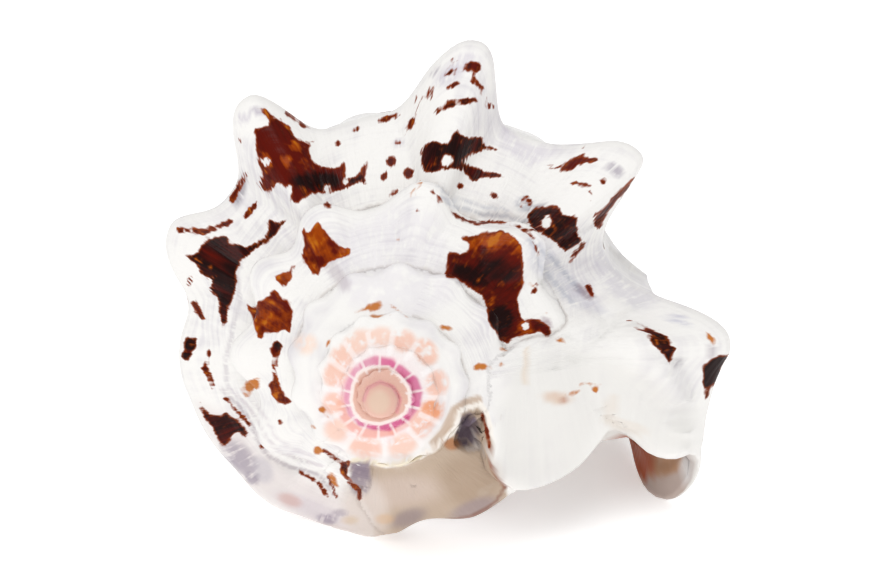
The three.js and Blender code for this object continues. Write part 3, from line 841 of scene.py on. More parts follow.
# red-brown blotches where the photograph shows them: how dark, how amber, and the outline in pixels
blotches = [
    (0.3, 0.15, [
        (258, 109), (266, 110), (272, 116), (281, 120), (284, 125), (290, 129), (292, 136), (297, 140),
        (306, 142), (313, 142), (309, 148), (309, 155), (314, 163), (322, 167), (333, 168), (340, 165),
        (344, 162), (344, 172), (347, 178), (355, 177), (361, 172), (364, 166), (368, 158), (367, 168),
        (364, 178), (368, 184), (358, 182), (347, 188), (336, 192), (325, 194), (312, 193), (305, 197),
        (299, 203), (292, 203), (290, 196), (292, 188), (285, 187), (281, 182), (275, 184), (272, 190),
        (268, 199), (267, 190), (260, 187), (256, 183), (263, 178), (262, 170), (258, 163), (257, 150),
        (256, 138), (254, 130), (262, 127), (269, 125), (271, 120), (266, 114)]),
    (0.8, 0.0, [
        (183, 254), (190, 255), (198, 253), (201, 246), (208, 240), (220, 236), (228, 237), (229, 243),
        (236, 245), (247, 247), (258, 243), (265, 238), (270, 231), (268, 223), (270, 219), (277, 223),
        (287, 221), (280, 227), (274, 236), (266, 243), (256, 249), (246, 256), (240, 262), (236, 271),
        (236, 284), (234, 297), (229, 305), (227, 318), (223, 327), (220, 315), (219, 300), (214, 293),
        (209, 291), (212, 283), (216, 277), (205, 276), (199, 270), (198, 264), (190, 261), (185, 257)]),
    (0.1, 0.6, [
        (302, 232), (304, 228), (307, 235), (312, 228), (318, 223), (324, 229), (330, 237), (340, 246),
        (350, 249), (348, 256), (338, 258), (330, 261), (322, 268), (318, 275), (312, 273), (308, 267),
        (304, 262), (301, 255), (304, 248), (303, 240)]),
    (0.15, 0.7, [
        (274, 278), (282, 274), (289, 271), (292, 266), (295, 265), (292, 274), (289, 282), (284, 288),
        (279, 282)]),
    (0.2, 0.5, [
        (246, 302), (252, 307), (257, 308), (258, 301), (264, 301), (268, 296), (270, 292), (276, 291),
        (279, 295), (279, 300), (284, 299), (290, 301), (292, 310), (292, 325), (289, 332), (285, 329),
        (279, 331), (270, 333), (265, 332), (262, 338), (259, 340), (257, 330), (254, 322), (251, 313)]),
    (0.35, 0.35, [
        (270, 350), (273, 343), (278, 341), (283, 346), (280, 352), (277, 360), (276, 372), (278, 382),
        (281, 390), (288, 398), (291, 402), (285, 404), (277, 401), (272, 393), (268, 385), (271, 382),
        (274, 380), (273, 368), (273, 356)]),
    (0.75, 0.05, [
        (420, 151), (425, 146), (432, 140), (438, 143), (444, 145), (450, 140), (453, 134), (457, 130),
        (462, 136), (470, 138), (482, 137), (483, 144), (492, 148), (496, 150), (486, 150), (478, 151),
        (472, 154), (464, 157), (462, 162), (470, 167), (478, 168), (486, 172), (496, 173), (504, 176),
        (492, 177), (482, 178), (471, 181), (466, 173), (458, 169), (448, 169), (440, 172), (430, 172),
        (423, 170), (422, 160)]),
    (0.8, 0.1, [
        (527, 216), (534, 208), (548, 206), (557, 205), (560, 209), (562, 214), (568, 216), (575, 216),
        (578, 214), (577, 222), (577, 232), (581, 240), (584, 243), (577, 245), (570, 248), (566, 252),
        (560, 248), (556, 242), (550, 237), (541, 234), (532, 228)]),
    (0.45, 0.25, [
        (462, 237), (475, 236), (488, 232), (501, 230), (510, 234), (518, 241), (521, 248), (522, 262),
        (523, 275), (522, 288), (517, 300), (520, 312), (523, 320), (530, 318), (540, 321), (549, 326),
        (551, 335), (546, 336), (540, 331), (530, 333), (520, 335), (511, 340), (508, 344), (500, 340),
        (497, 333), (488, 320), (487, 305), (481, 295), (470, 287), (457, 279), (445, 277), (447, 270),
        (448, 252), (460, 254), (468, 252), (470, 245)]),
    (0.6, 0.2, [
        (592, 213), (600, 212), (607, 205), (612, 198), (620, 190), (628, 184), (634, 178), (628, 190),
        (618, 198), (610, 208), (603, 220), (600, 230), (595, 226)]),
    (0.6, 0.1, [(443, 76), (448, 72), (452, 69), (457, 72), (455, 75), (450, 74)]),
    (0.5, 0.2, [(464, 67), (470, 63), (481, 64), (480, 70), (475, 72), (468, 69)]),
    (0.7, 0.1, [
        (433, 113), (440, 106), (450, 101), (462, 99), (476, 98), (480, 101), (466, 104), (452, 106),
        (442, 110), (437, 115)]),
    (0.8, 0.0, [(186, 337), (197, 338), (196, 345), (193, 353), (187, 361), (182, 357), (184, 347)]),
    (0.5, 0.15, [
        (209, 350), (206, 362), (200, 368), (205, 372), (209, 380), (212, 389), (215, 385), (213, 378),
        (208, 370), (208, 361), (211, 352)]),
    (0.75, 0.05, [
        (200, 404), (204, 410), (211, 415), (222, 415), (226, 413), (232, 418), (240, 422), (244, 427),
        (248, 432), (245, 437), (238, 432), (232, 434), (230, 439), (226, 445), (221, 446), (218, 440),
        (215, 432), (210, 424), (204, 418), (201, 411)]),
    (0.6, 0.3, [(340, 462), (350, 461), (348, 470), (349, 481), (345, 478), (341, 470)]),
    (0.8, 0.15, [
        (650, 330), (660, 329), (664, 336), (668, 342), (675, 343), (676, 349), (672, 356), (675, 368),
        (670, 364), (663, 353), (656, 347), (650, 343)]),
    (0.95, 0.0, [
        (703, 365), (711, 360), (718, 356), (729, 355), (726, 362), (721, 372), (717, 381), (710, 388),
        (706, 400), (704, 392), (703, 378)]),
]

# thin marks along lines, with their half width in pixels
# the first three run under the suture and are painted shadow there; the one from (482, 413) is painted shadow
# inside the callus's rim, and the one from (285, 112) is painted shade along a knob's back edge
strokes = [
    ([(432, 190), (441, 202)], 1.4), ([(452, 213), (465, 220), (475, 224), (490, 222), (505, 223)], 1.3),
    ([(505, 223), (520, 227), (530, 233), (536, 245), (538, 255)], 1.2), ([(580, 160), (598, 160)], 1.6),
    ([(570, 182), (588, 186), (592, 200)], 1.3), ([(584, 243), (575, 255), (570, 262)], 1.5),
    ([(472, 79), (483, 90)], 2.2), ([(430, 87), (432, 97)], 1.5), ([(407, 130), (414, 118)], 2.2),
    ([(380, 121), (398, 116)], 2.2), ([(285, 112), (306, 127)], 1.4),
    ([(246, 175), (238, 188), (232, 200)], 2.4), ([(180, 230), (205, 232), (230, 222)], 2.4),
    ([(246, 216), (256, 204)], 2.2), ([(194, 303), (202, 317)], 2.2), ([(225, 398), (250, 425)], 1.2),
    ([(300, 472), (318, 482), (328, 497)], 1.2), ([(323, 450), (340, 462)], 1.6),
    ([(350, 482), (361, 492), (360, 498)], 1.6), ([(329, 478), (336, 497)], 1.4),
    ([(629, 321), (640, 328)], 2.2), ([(640, 328), (650, 330)], 1.4), ([(588, 287), (592, 294)], 2.4),
    ([(482, 413), (487, 430), (489, 446)], 1.3), ([(415, 97), (419, 103)], 1.8),
    ([(536, 285), (533, 292)], 1.6), ([(486, 104), (492, 107)], 1.8), ([(431, 90), (426, 99)], 1.6),
    ([(446, 90), (452, 86)], 1.5), ([(549, 166), (562, 169)], 1.4), ([(583, 142), (585, 156)], 1.2),
    ([(523, 198), (521, 206)], 1.4), ([(528, 196), (530, 204)], 1.2),
]

# spots: pixel place with one radius, or two radii and a tilt; the white ones lie inside the blotches
spotSets = {
    "white": [
        (267, 162, 5.5), (327, 188, 3.5), (346, 182, 3), (289, 189, 4), (447, 160, 6),
        (547, 222, 5.5, 6.5, 0), (525, 326, 4.5),
    ],
    "brown": [
        (457, 84, 3), (454, 60, 3, 2, 0), (326, 124, 2), (338, 143, 2.4), (357, 129, 4, 2, -30),
        (398, 143, 2.4), (391, 161, 5), (384, 176, 4, 2.6, -60), (409, 173, 5), (603, 181, 3.2),
        (573, 164, 12, 4.5, -30), (460, 186, 3), (494, 196, 3), (189, 281, 3, 4, 0),
        (304, 126, 4, 2.5, 30), (240, 140, 2.5), (450, 73, 5, 3, -20), (472, 66, 8, 4.5, -15),
        (411, 121, 3.2, 2, -40), (262, 447, 2), (280, 422, 2), (327, 205, 3.5, 2.5, 20),
        (394, 193, 4, 2, -30), (418, 210, 2), (488, 105, 3),
    ],
    "amber": [
        (420, 183, 4, 3, 20), (412, 194, 3.5, 3, 0), (398, 239, 2), (375, 306, 9, 5, -8),
        (365, 309, 8, 2.5, -20), (378, 316, 9, 1.6, -5), (398, 310, 7, 1.6, 35), (445, 327, 7, 3.5, 20),
        (483, 367, 8, 3.5, 10), (476, 367, 3), (502, 364, 3), (252, 385, 11, 6, -30), (247, 395, 4, 3, 0),
        (322, 410, 4, 3, 40), (328, 417, 4, 1.8, 45), (318, 450, 5), (334, 480, 9, 3, 62),
        (328, 343, 5, 1.6, -60), (573, 393, 6, 2.5, -10), (587, 384, 8, 1.6, 0), (596, 390, 2.5, 4, 0),
        (711, 338, 9, 4, 65), (533, 285, 4, 3, 0), (560, 340, 6, 3, 20), (313, 427, 3, 1.6, 30),
        (672, 347, 5, 3, 60), (545, 313, 3, 2, -30), (504, 350, 4, 2, 20),
    ],
}
# where the blotches are lighter, and where darker: x, y, one radius or two and a tilt, then strength
glows = [
    ((294, 147, 7), 0.8), ((286, 160, 8), 0.9), ((304, 164, 6), 0.5), ((267, 157, 5), 0.5),
    ((498, 240, 28, 8, -5), 0.8), ((500, 245, 9), 0.3), ((516, 252, 6, 10, 0), 0.5), ((430, 165, 5), 0.4),
    ((556, 206, 6), 0.4), ((318, 232, 8), 0.4), ((346, 250, 6), 0.4), ((470, 245, 8, 5, 0), 0.5),
    ((525, 326, 8), 0.5), ((268, 318, 8), 0.2),
]
shades = [
    ((318, 181, 30, 11, 0), 0.7), ((355, 180, 10, 5, 0), 0.5), ((500, 322, 14, 20, 20), 0.6),
    ((470, 275, 24, 9, 25), 0.6), ((496, 270, 26, 14, 10), 0.45), ((454, 152, 16, 10, 0), 0.3),
    ((318, 262, 8, 6, 0), 0.3), ((278, 345, 6), 0.4),
]

# short lines that run out from a middle on the picture, all around it
def rays(middle, start, end, degrees):
    (x, y), ends = middle, (start, end)
    turns = np.radians(degrees)
    return [[(x + wide * math.cos(a), y + high * math.sin(a)) for wide, high in ends] for a in turns]


# washes and mottled patches laid over the cream, painted shade among them, later ones on top: kind,
# place, softness in pixels, colour and strength
disc = [(363, 370), (372, 367), (388, 367), (396, 373), (404, 381), (409, 390), (410, 402), (405, 413),
        (398, 418), (390, 421), (380, 424), (370, 423), (361, 420), (354, 412), (351, 400), (353, 385),
        (358, 374)]
callusEdge = [(349, 462), (359, 461), (371, 464), (386, 468), (406, 465), (425, 455), (436, 446), (444, 436),
              (456, 420), (462, 411), (476, 405), (486, 409), (492, 440), (490, 466), (504, 485), (530, 560),
              (376, 560), (374, 520), (364, 500), (360, 490), (351, 478)]
washes = [
    # painted shade: the lip's face made a little darker and greyer
    ("area", [(508, 372), (545, 345), (600, 350), (640, 372), (690, 400), (694, 452), (640, 452), (600, 420),
              (580, 478), (520, 488), (496, 470)], 26, "#e4e2de", 0.7),
    # the rose groove around the apex, and its pale disc
    ("dot", (379, 400, 52, 52, 0), 45, "#f4e2e2", 0.8),
    ("line", [(341, 404), (343, 414), (351, 426), (360, 432), (374, 434), (392, 431)], 4.5, "#e99c8c", 0.75),
    ("line", [(392, 431), (405, 424), (416, 412)], 4.0, "#e99c8c", 0.5),
    ("line", [(344, 398), (345, 384), (351, 370)], 3.0, "#efb9b0", 0.5),
    ("line", [(344, 399), (348, 382), (358, 368), (374, 359), (392, 361)], 4.0, "#ecb6c2", 0.6),
    ("line", [(364, 366), (375, 361), (390, 364)], 5.0, "#d66c96", 0.95),
    ("line", [(390, 366), (400, 370), (409, 378)], 5.0, "#d66c96", 0.9),
    ("line", [(413, 381), (417, 392), (415, 403)], 5.6, "#cf6a94", 0.9),
    ("line", [(416, 405), (408, 415)], 4.4, "#d2709a", 0.75),
    ("line", [(406, 418), (389, 427), (374, 426), (361, 422)], 4.0, "#cf5c8c", 0.95),
    ("line", [(361, 421), (352, 413), (348, 399), (350, 385), (357, 371)], 4.2, "#dd8dab", 0.75),
    ("area", disc, 2.5, "#e0b4a4", 1.0),
    ("dot", (379, 402, 11, 12, 0), 8, "#dcc3ae", 0.75),
    ("line", [(364, 400), (368, 388), (380, 382), (393, 387), (400, 399), (397, 412)], 2.0, "#e0929e", 0.55),
    ("line", disc + disc[:1], 1.8, "#f8ece6", 0.85),
    *[("line", ray, 1.3, "#f6ebe8", 0.7) for ray in rays(
        (379, 399), (28, 28), (47, 45), np.arange(14, 374, 25.7))],
    # the callus, its shadowed hollow and its rim
    ("area", callusEdge, 4.0, "#bba794", 1.0),
    ("dot", (396, 492, 44, 16, -5), 16, "#cbb9ae", 0.7),
    ("dot", (470, 480, 30, 26, 0), 20, "#a48c76", 0.6),
    # painted shade, tan-brown, on the outer side of the rim, between it and the whorl
    ("line", [(434, 443), (444, 432), (450, 420), (455, 410), (466, 403), (478, 400)], 4.5, "#b08a62", 0.65),
    # painted shadow, orange-brown, inside the rim along the lip's left edge
    ("line", [(482, 412), (487, 430), (490, 446), (489, 458), (492, 470), (498, 479), (506, 487)],
     1.5, "#8a4a2c", 0.75),
    ("area", [(350, 462), (369, 462), (371, 482), (364, 497), (352, 482)], 4, "#8a7c8c", 0.85),
    ("dot", (408, 518, 18, 8, -20), 8, "#85767f", 0.6),
    ("dot", (474, 508, 24, 8, -20), 7, "#94848a", 0.65),
    ("line", [(506, 486), (496, 501), (486, 509), (470, 517), (440, 521)], 1.5, "#7a4028", 0.6),
    # painted shade with a purple-brown stain, deep in the hollow behind the rim
    ("dot", (467, 430, 11, 17, 12), 5, "#655866", 0.95),
    # painted shade, tan-brown, beside the rim's outer side
    ("dot", (452, 444, 8, 6, 0), 4, "#a8662e", 0.75),
    ("line", [(473, 428), (478, 445)], 2.0, "#cfc6c4", 0.7),
    ("line", [(468, 449), (480, 447), (489, 451)], 2.4, "#c6bcb6", 0.8),
    ("line", [(420, 457), (432, 450), (440, 443), (445, 438), (452, 433), (456, 427), (458, 419), (459, 412),
              (466, 408), (474, 406), (480, 404), (485, 410), (489, 422), (491, 436)], 2.6, "#f4eee6", 0.95),
    ("line", [(352, 461), (362, 459), (372, 461), (380, 465), (400, 465), (420, 457)], 1.8, "#ece0c6", 0.8),
    # the poured lip
    ("dot", (557, 398, 13, 6, 10), 6, "#d3ae90", 0.6),
    ("dot", (564, 400, 4, 3, 0), 3, "#b8826c", 0.6),
    # painted shade in the crease at the lip's back end
    ("line", [(526, 350), (523, 384)], 2.5, "#e2d2c0", 0.6),
    ("line", [(612, 400), (608, 418), (618, 424), (640, 430)], 6.0, "#ddccba", 0.3),
    # the lowest whorl, towards the floor: painted shade darkens it, over rose and tan tints of the shell
    ("area", [(198, 404), (215, 440), (250, 490), (300, 524), (372, 545), (374, 512), (340, 496), (300, 474),
              (255, 446), (236, 418)], 20, "#dcd2d0", 0.7),
    ("dot", (366, 510, 22, 34, -15), 22, "#d6cac2", 0.75),
    ("dot", (310, 508, 34, 9, 22), 10, "#c4bac2", 0.5),
    ("dot", (262, 470, 10, 14, -30), 9, "#b9b4bd", 0.5),
    ("dot", (335, 531, 22, 7, 12), 6, "#c9b8b2", 0.5),
    ("dot", (290, 500, 12, 6, 20), 5, "#c8988c", 0.5),
    ("dot", (350, 520, 8, 4, 0), 4, "#cbb08c", 0.5),
    ("dot", (385, 519, 9, 5, 0), 4, "#d2a878", 0.45),
]
# inside the lip
lipInside = [
    ("dot", (665, 470, 60, 60, 0), 10, "#a67a58", 0.95),
    ("area", [(643, 478), (665, 476), (692, 466), (694, 478), (682, 497), (660, 505), (640, 500)],
     8, "#b3a29a", 0.95),
    ("area", [(684, 440), (700, 430), (710, 455), (696, 480), (684, 488), (680, 470)], 6, "#cfcac8", 0.9),
    # the orange inside of the lip, darkened with painted shade where it lies deep in the notch
    ("area", [(616, 424), (640, 436), (654, 450), (652, 470), (646, 482), (630, 470), (616, 452)],
     6, "#a04414", 1.0),
]
mottlesAndShade = [
    # peach flames around the rose groove, with white ribs between them
    ("dot", (335, 374, 11, 14, 20), 8, "#efb79e", 0.72), ("dot", (342, 357, 13, 11, -40), 8, "#efb79e", 0.72),
    ("dot", (358, 342, 15, 11, -30), 8, "#f0c2ac", 0.72), ("dot", (381, 337, 14, 10, 0), 8, "#f0c2ac", 0.68),
    ("dot", (404, 341, 12, 11, 20), 8, "#efb79e", 0.72), ("dot", (426, 352, 11, 14, -30), 8, "#efb79e", 0.75),
    ("dot", (437, 384, 11, 14, 10), 8, "#efb79e", 0.72), ("dot", (432, 410, 13, 11, -50), 8, "#e8935c", 0.85),
    ("dot", (422, 425, 13, 11, -45), 8, "#efb79e", 0.75),
    ("dot", (403, 445, 15, 11, -25), 8, "#f0c2ac", 0.72),
    ("dot", (365, 447, 18, 10, 10), 8, "#efb79e", 0.72), ("dot", (336, 430, 12, 11, 45), 8, "#f0c2ac", 0.72),
    ("dot", (333, 404, 10, 12, 10), 8, "#efb79e", 0.72), ("dot", (306, 344, 11, 10, 0), 8, "#f6cdb2", 0.5),
    *[("line", ray, 2.8, "#f7f3f2", 0.6) for ray in rays(
        (381, 396), (44, 44), (63, 63), (2, 25, 50, 86, 125, 157, 188, 215, 236, 258, 281, 304, 332))],
    # painted shade: bluish greys in the hollows and beside the knobs, with some grey-purple streaks of the
    # shell among them
    ("area", [(330, 236), (392, 206), (440, 214), (452, 300), (420, 318), (350, 306)], 16, "#d6d0da", 0.3),
    ("area", [(524, 236), (545, 243), (592, 297), (612, 316), (570, 306), (530, 268)], 8, "#c0bfcc", 0.45),
    ("line", [(325, 258), (334, 270), (345, 285)], 6, "#8d7484", 0.3),
    ("dot", (211, 262, 6, 9, 20), 4, "#9a8c9a", 0.7),
    ("dot", (240, 190, 5, 16, 20), 4, "#7c7484", 0.6), ("dot", (258, 111, 8, 3, 10), 3, "#9c8fa6", 0.6),
    ("dot", (243, 118, 8, 4, 0), 4, "#b3a9bb", 0.5), ("dot", (537, 208, 9, 4, -20), 3, "#75697a", 0.6),
    ("dot", (615, 170, 9, 6, 40), 4, "#8b7f94", 0.65), ("dot", (679, 320, 9, 4, 35), 3, "#a9a8c2", 0.7),
    ("dot", (465, 274, 18, 12, 25), 6, "#75636f", 0.5), ("dot", (240, 458, 20, 12, 45), 11, "#81748a", 0.6),
    ("dot", (252, 478, 8, 6, 40), 4, "#81748a", 0.6), ("dot", (360, 480, 11, 16, 0), 8, "#7f7180", 0.7),
    ("dot", (327, 519, 10, 5, 10), 4, "#8b7d90", 0.7), ("dot", (340, 513, 8, 4, 0), 4, "#8b7d90", 0.5),
    ("dot", (450, 74, 16, 8, -30), 6, "#b9b0c2", 0.5), ("dot", (468, 60, 14, 8, 0), 6, "#c4bccb", 0.4),
    ("dot", (435, 72, 5, 3, -30), 3, "#8a7f92", 0.6), ("dot", (398, 143, 5, 4, 0), 3, "#a79cae", 0.5),
    ("dot", (500, 300, 8, 26, -10), 5, "#7e6a78", 0.3), ("dot", (545, 325, 6, 8, 0), 3, "#8e6f80", 0.6),
    ("dot", (713, 352, 5, 8, 0), 4, "#9a8c98", 0.5), ("dot", (676, 360, 4, 9, -20), 4, "#8f8890", 0.5),
    ("area", [(600, 240), (628, 282), (660, 300), (640, 312), (604, 290), (592, 262)], 10, "#bdb8c6", 0.4),
    ("area", [(500, 110), (520, 142), (560, 150), (530, 168), (504, 150)], 8, "#c9c2cf", 0.45),
    # thin grey lines in the grooves of the threads and folds and along the suture: painted shade
    ("line", [(578, 288), (590, 297)], 4, "#7d6470", 0.6),
    ("line", [(440, 196), (455, 207), (480, 214), (505, 216), (528, 222)], 2.2, "#a3a8b5", 0.55),
    ("line", [(437, 186), (452, 198), (478, 206), (505, 210)], 2.0, "#b0b4bf", 0.45),
    ("line", [(530, 240), (556, 262), (580, 292)], 2.2, "#a3a8b5", 0.5),
    ("line", [(538, 262), (556, 284), (572, 302)], 2.2, "#b0b4bf", 0.45),
    ("line", [(246, 252), (236, 272), (240, 300), (230, 342), (225, 362), (228, 392)], 2.4, "#beb7bd", 0.5),
    ("line", folds[0], 2.0, "#a89ca4", 0.55),
    ("line", folds[1], 1.8, "#bdb1b9", 0.45),
    ("line", folds[2], 1.8, "#c8bec5", 0.4),
    ("dot", (524, 204, 8, 8, 0), 4, "#8b90a0", 0.5),
]


def deepest(dots, start):
    field = np.full(count, float(start))
    for dot in dots:
        field = np.maximum(field, insideDot(dot, across, down))
    return field


def softPatches(patches):
    total = np.zeros(count)
    for dot, strength in patches:
        far = insideDot(dot, across, down)
        total = np.maximum(total, strength * smoothStep(-0.1, 0.5 * far.max(), far))
    return total


def linear(hexColour):
    channels = [int(hexColour[i:i + 2], 16) / 255 for i in (1, 3, 5)]
    return tuple(c / 12.92 if c <= 0.04045 else ((c + 0.055) / 1.055) ** 2.4 for c in channels) + (1,)


# patches laid on a layer of colour times cover, and cover
def laidOver(layer, patches, shown):
    for kind, where, soft, colour, strength in patches:
        if kind == "line":
            far = eye["pixelsPerMm"] * np.abs(beside(where, across, down)[0])
            cover = 1 - smoothStep(0.6 * soft, 1.4 * soft, far)
        else:
            far = eye["pixelsPerMm"] * (insideOutline if kind == "area" else insideDot)(where, across, down)
            cover = smoothStep(-0.5 * soft, 0.5 * soft, far)
        cover = (cover * strength * shown)[:, None]
        layer = layer * (1 - cover) + np.array(linear(colour)) * cover
    return layer


# how the marks are joined, in mm; the sides that the photograph doesn't show are marked in the same
# manner: size, height and level of the lumps
marking = {
    "reach": 3.0,
    "overlap": 0.6,
    "deep": 0.4,
    "amber": 0.15,
    "wildLarge": (8.5, 2.6, -1.2),
    "wildSmall": (3.4, 1.6, -1.15),
    "wildEdge": (3.6, 0.8, 0),
    "wildDeep": (7, 0.5, 0.45),
    "wildAmber": (6, 0.5, 0),
    "wildFrom": -400,
    "glazed": (0.25, 0.6),
    "lipFrom": 0.4,
}
reach = marking["reach"]
brown = np.full(count, -reach)
deep = np.full(count, marking["deep"])
amber = np.full(count, marking["amber"])
for darkness, warmth, outline in blotches:
    field = insideOutline(outline, across, down)
    near = (field > -marking["overlap"]) & (field > brown)
    deep, amber = np.where(near, darkness, deep), np.where(near, warmth, amber)
    brown = np.maximum(brown, field)
for line, half in strokes:
    brown = np.maximum(brown, half / eye["pixelsPerMm"] - np.abs(beside(line, across, down)[0]))
brown = np.maximum(brown, deepest(spotSets["brown"], -reach))
brown = np.minimum(brown, -deepest(spotSets["white"], -reach))
deep = np.clip(deep + softPatches(shades) - softPatches(glows), 0, 1)
amber = np.clip(amber + softPatches(glows) - softPatches(shades), 0, 1)
spots = deepest(spotSets["amber"], -reach)



def wildLumps(name, seed):
    size, height, level = marking[name]
    return lumps(place * 1000, size, seed) * height + level


wild = np.maximum(wildLumps("wildLarge", 11), wildLumps("wildSmall", 15)) + wildLumps("wildEdge", 12)
wild = np.where((skin == 0) & (turn > marking["wildFrom"]), wild, -reach)
# fade where the lip's glaze covers the pattern
wild = wild - reach * smoothStep(*marking["glazed"], past)
brown = np.clip(blend(wild, brown, seen), -reach, reach)
deep = blend(np.clip(wildLumps("wildDeep", 13), 0, 1), deep, seen)
amber = blend(np.clip(wildLumps("wildAmber", 14), 0, 1), amber, seen)
spots = blend(np.full(count, -reach), spots, seen)


def paint(name, kind, what, values):
    layer = piece.data.attributes.new(name, kind, "POINT")
    layer.data.foreach_set(what, np.ascontiguousarray(values, dtype=np.float32).ravel())


fields = {
    "brown": brown,
    "deep": deep,
    "amber": amber,
    "spots": spots,
    "tan": (skin == 2) * (1 - seen),
    "inner": (skin == 1) * (1 - seen),
    "seam": seam,
    "smooth": spire | (skin == 2) | (poured > 0.05),
    "course": np.radians(turn) * toShoulder(turn),
    "row": row,
}
for name, values in fields.items():
    paint(name, "FLOAT", "value", values)
bare = np.zeros((count, 4))
washed = laidOver(laidOver(bare, washes, seen), lipInside, (skin == 1) * (past > marking["lipFrom"]))
for name, covered in (("wash", washed), ("mottleAndShade", laidOver(bare, mottlesAndShade, seen))):
    paint(name, "FLOAT_VECTOR", "vector", covered[:, :3])
    paint(name + "Cover", "FLOAT", "value", covered[:, 3])
print("markings painted")


# adds a node with its settings, and its inputs as values or as other nodes' sockets
def addNode(tree, kind, settings=None, inputs=None):
    node = tree.nodes.new(kind)
    for name, value in (settings or {}).items():
        setattr(node, name, value)
    for name, value in (inputs or {}).items():
        if isinstance(value, bpy.types.NodeSocket):
            tree.links.new(value, node.inputs[name])
        else:
            node.inputs[name].default_value = value
    return node


# aragonite laid down in thin layers, naturally polished: milky, with soft gloss
# an edge is where a tone begins and where it is full; a mark has its unevenness, edge and cover
aragonite = {
    "cream": "#f0eeeb",
    "shade": "#d5d1d5",
    "brown": "#5a0d01",
    "dark": "#1a0403",
    "amber": "#a34400",
    "gold": "#bd6c12",
    "tan": "#c0ab98",
    "inner": "#d6c2b4",
    # painted shade in the sutures
    "sutureShade": "#a8998f",
    "roughness": 0.3,
    "ior": 1.53,
    "specular": 0.09,
    "raggedMm": 0.9,
    "softMm": 6.25,
    "lineMm": 0.35,
    "linesPerRow": 0.8,
    "bandsPerMm": 0.9,
    "threadsPerMm": 0.07,
    "threadsPerRow": 6.0,
    "shadeEdge": (-0.06, 0.4),
    "washEdge": (-0.6, -0.1),
    "mottleEdge": (-0.42, 0.08),
    "mottleRagged": 1.3,
    # the painted shade in the sutures: unevenness, edge and cover
    "suture": (0.5, (0.0, 0.45), 0.3),
    "blotchEdge": (-0.1, 0.1),
    "blotchRagged": 0.45,
    "blotchMore": 0.05,
    "heart": (1.1, (0.1, 1.0), 1.0),
    "glow": (1.4, (0.25, 0.95), 0.8),
    "glint": (2.4, (0.9, 1.5), 0.75),
    "fringe": (0.0, (-0.02, 0.26), 0.65),
    "speck": (0.6, (-0.08, 0.2), 0.96),
    "bump": 0.5,
    "bumpDepth": 0.0002,
    "threadBump": 0.8,
}


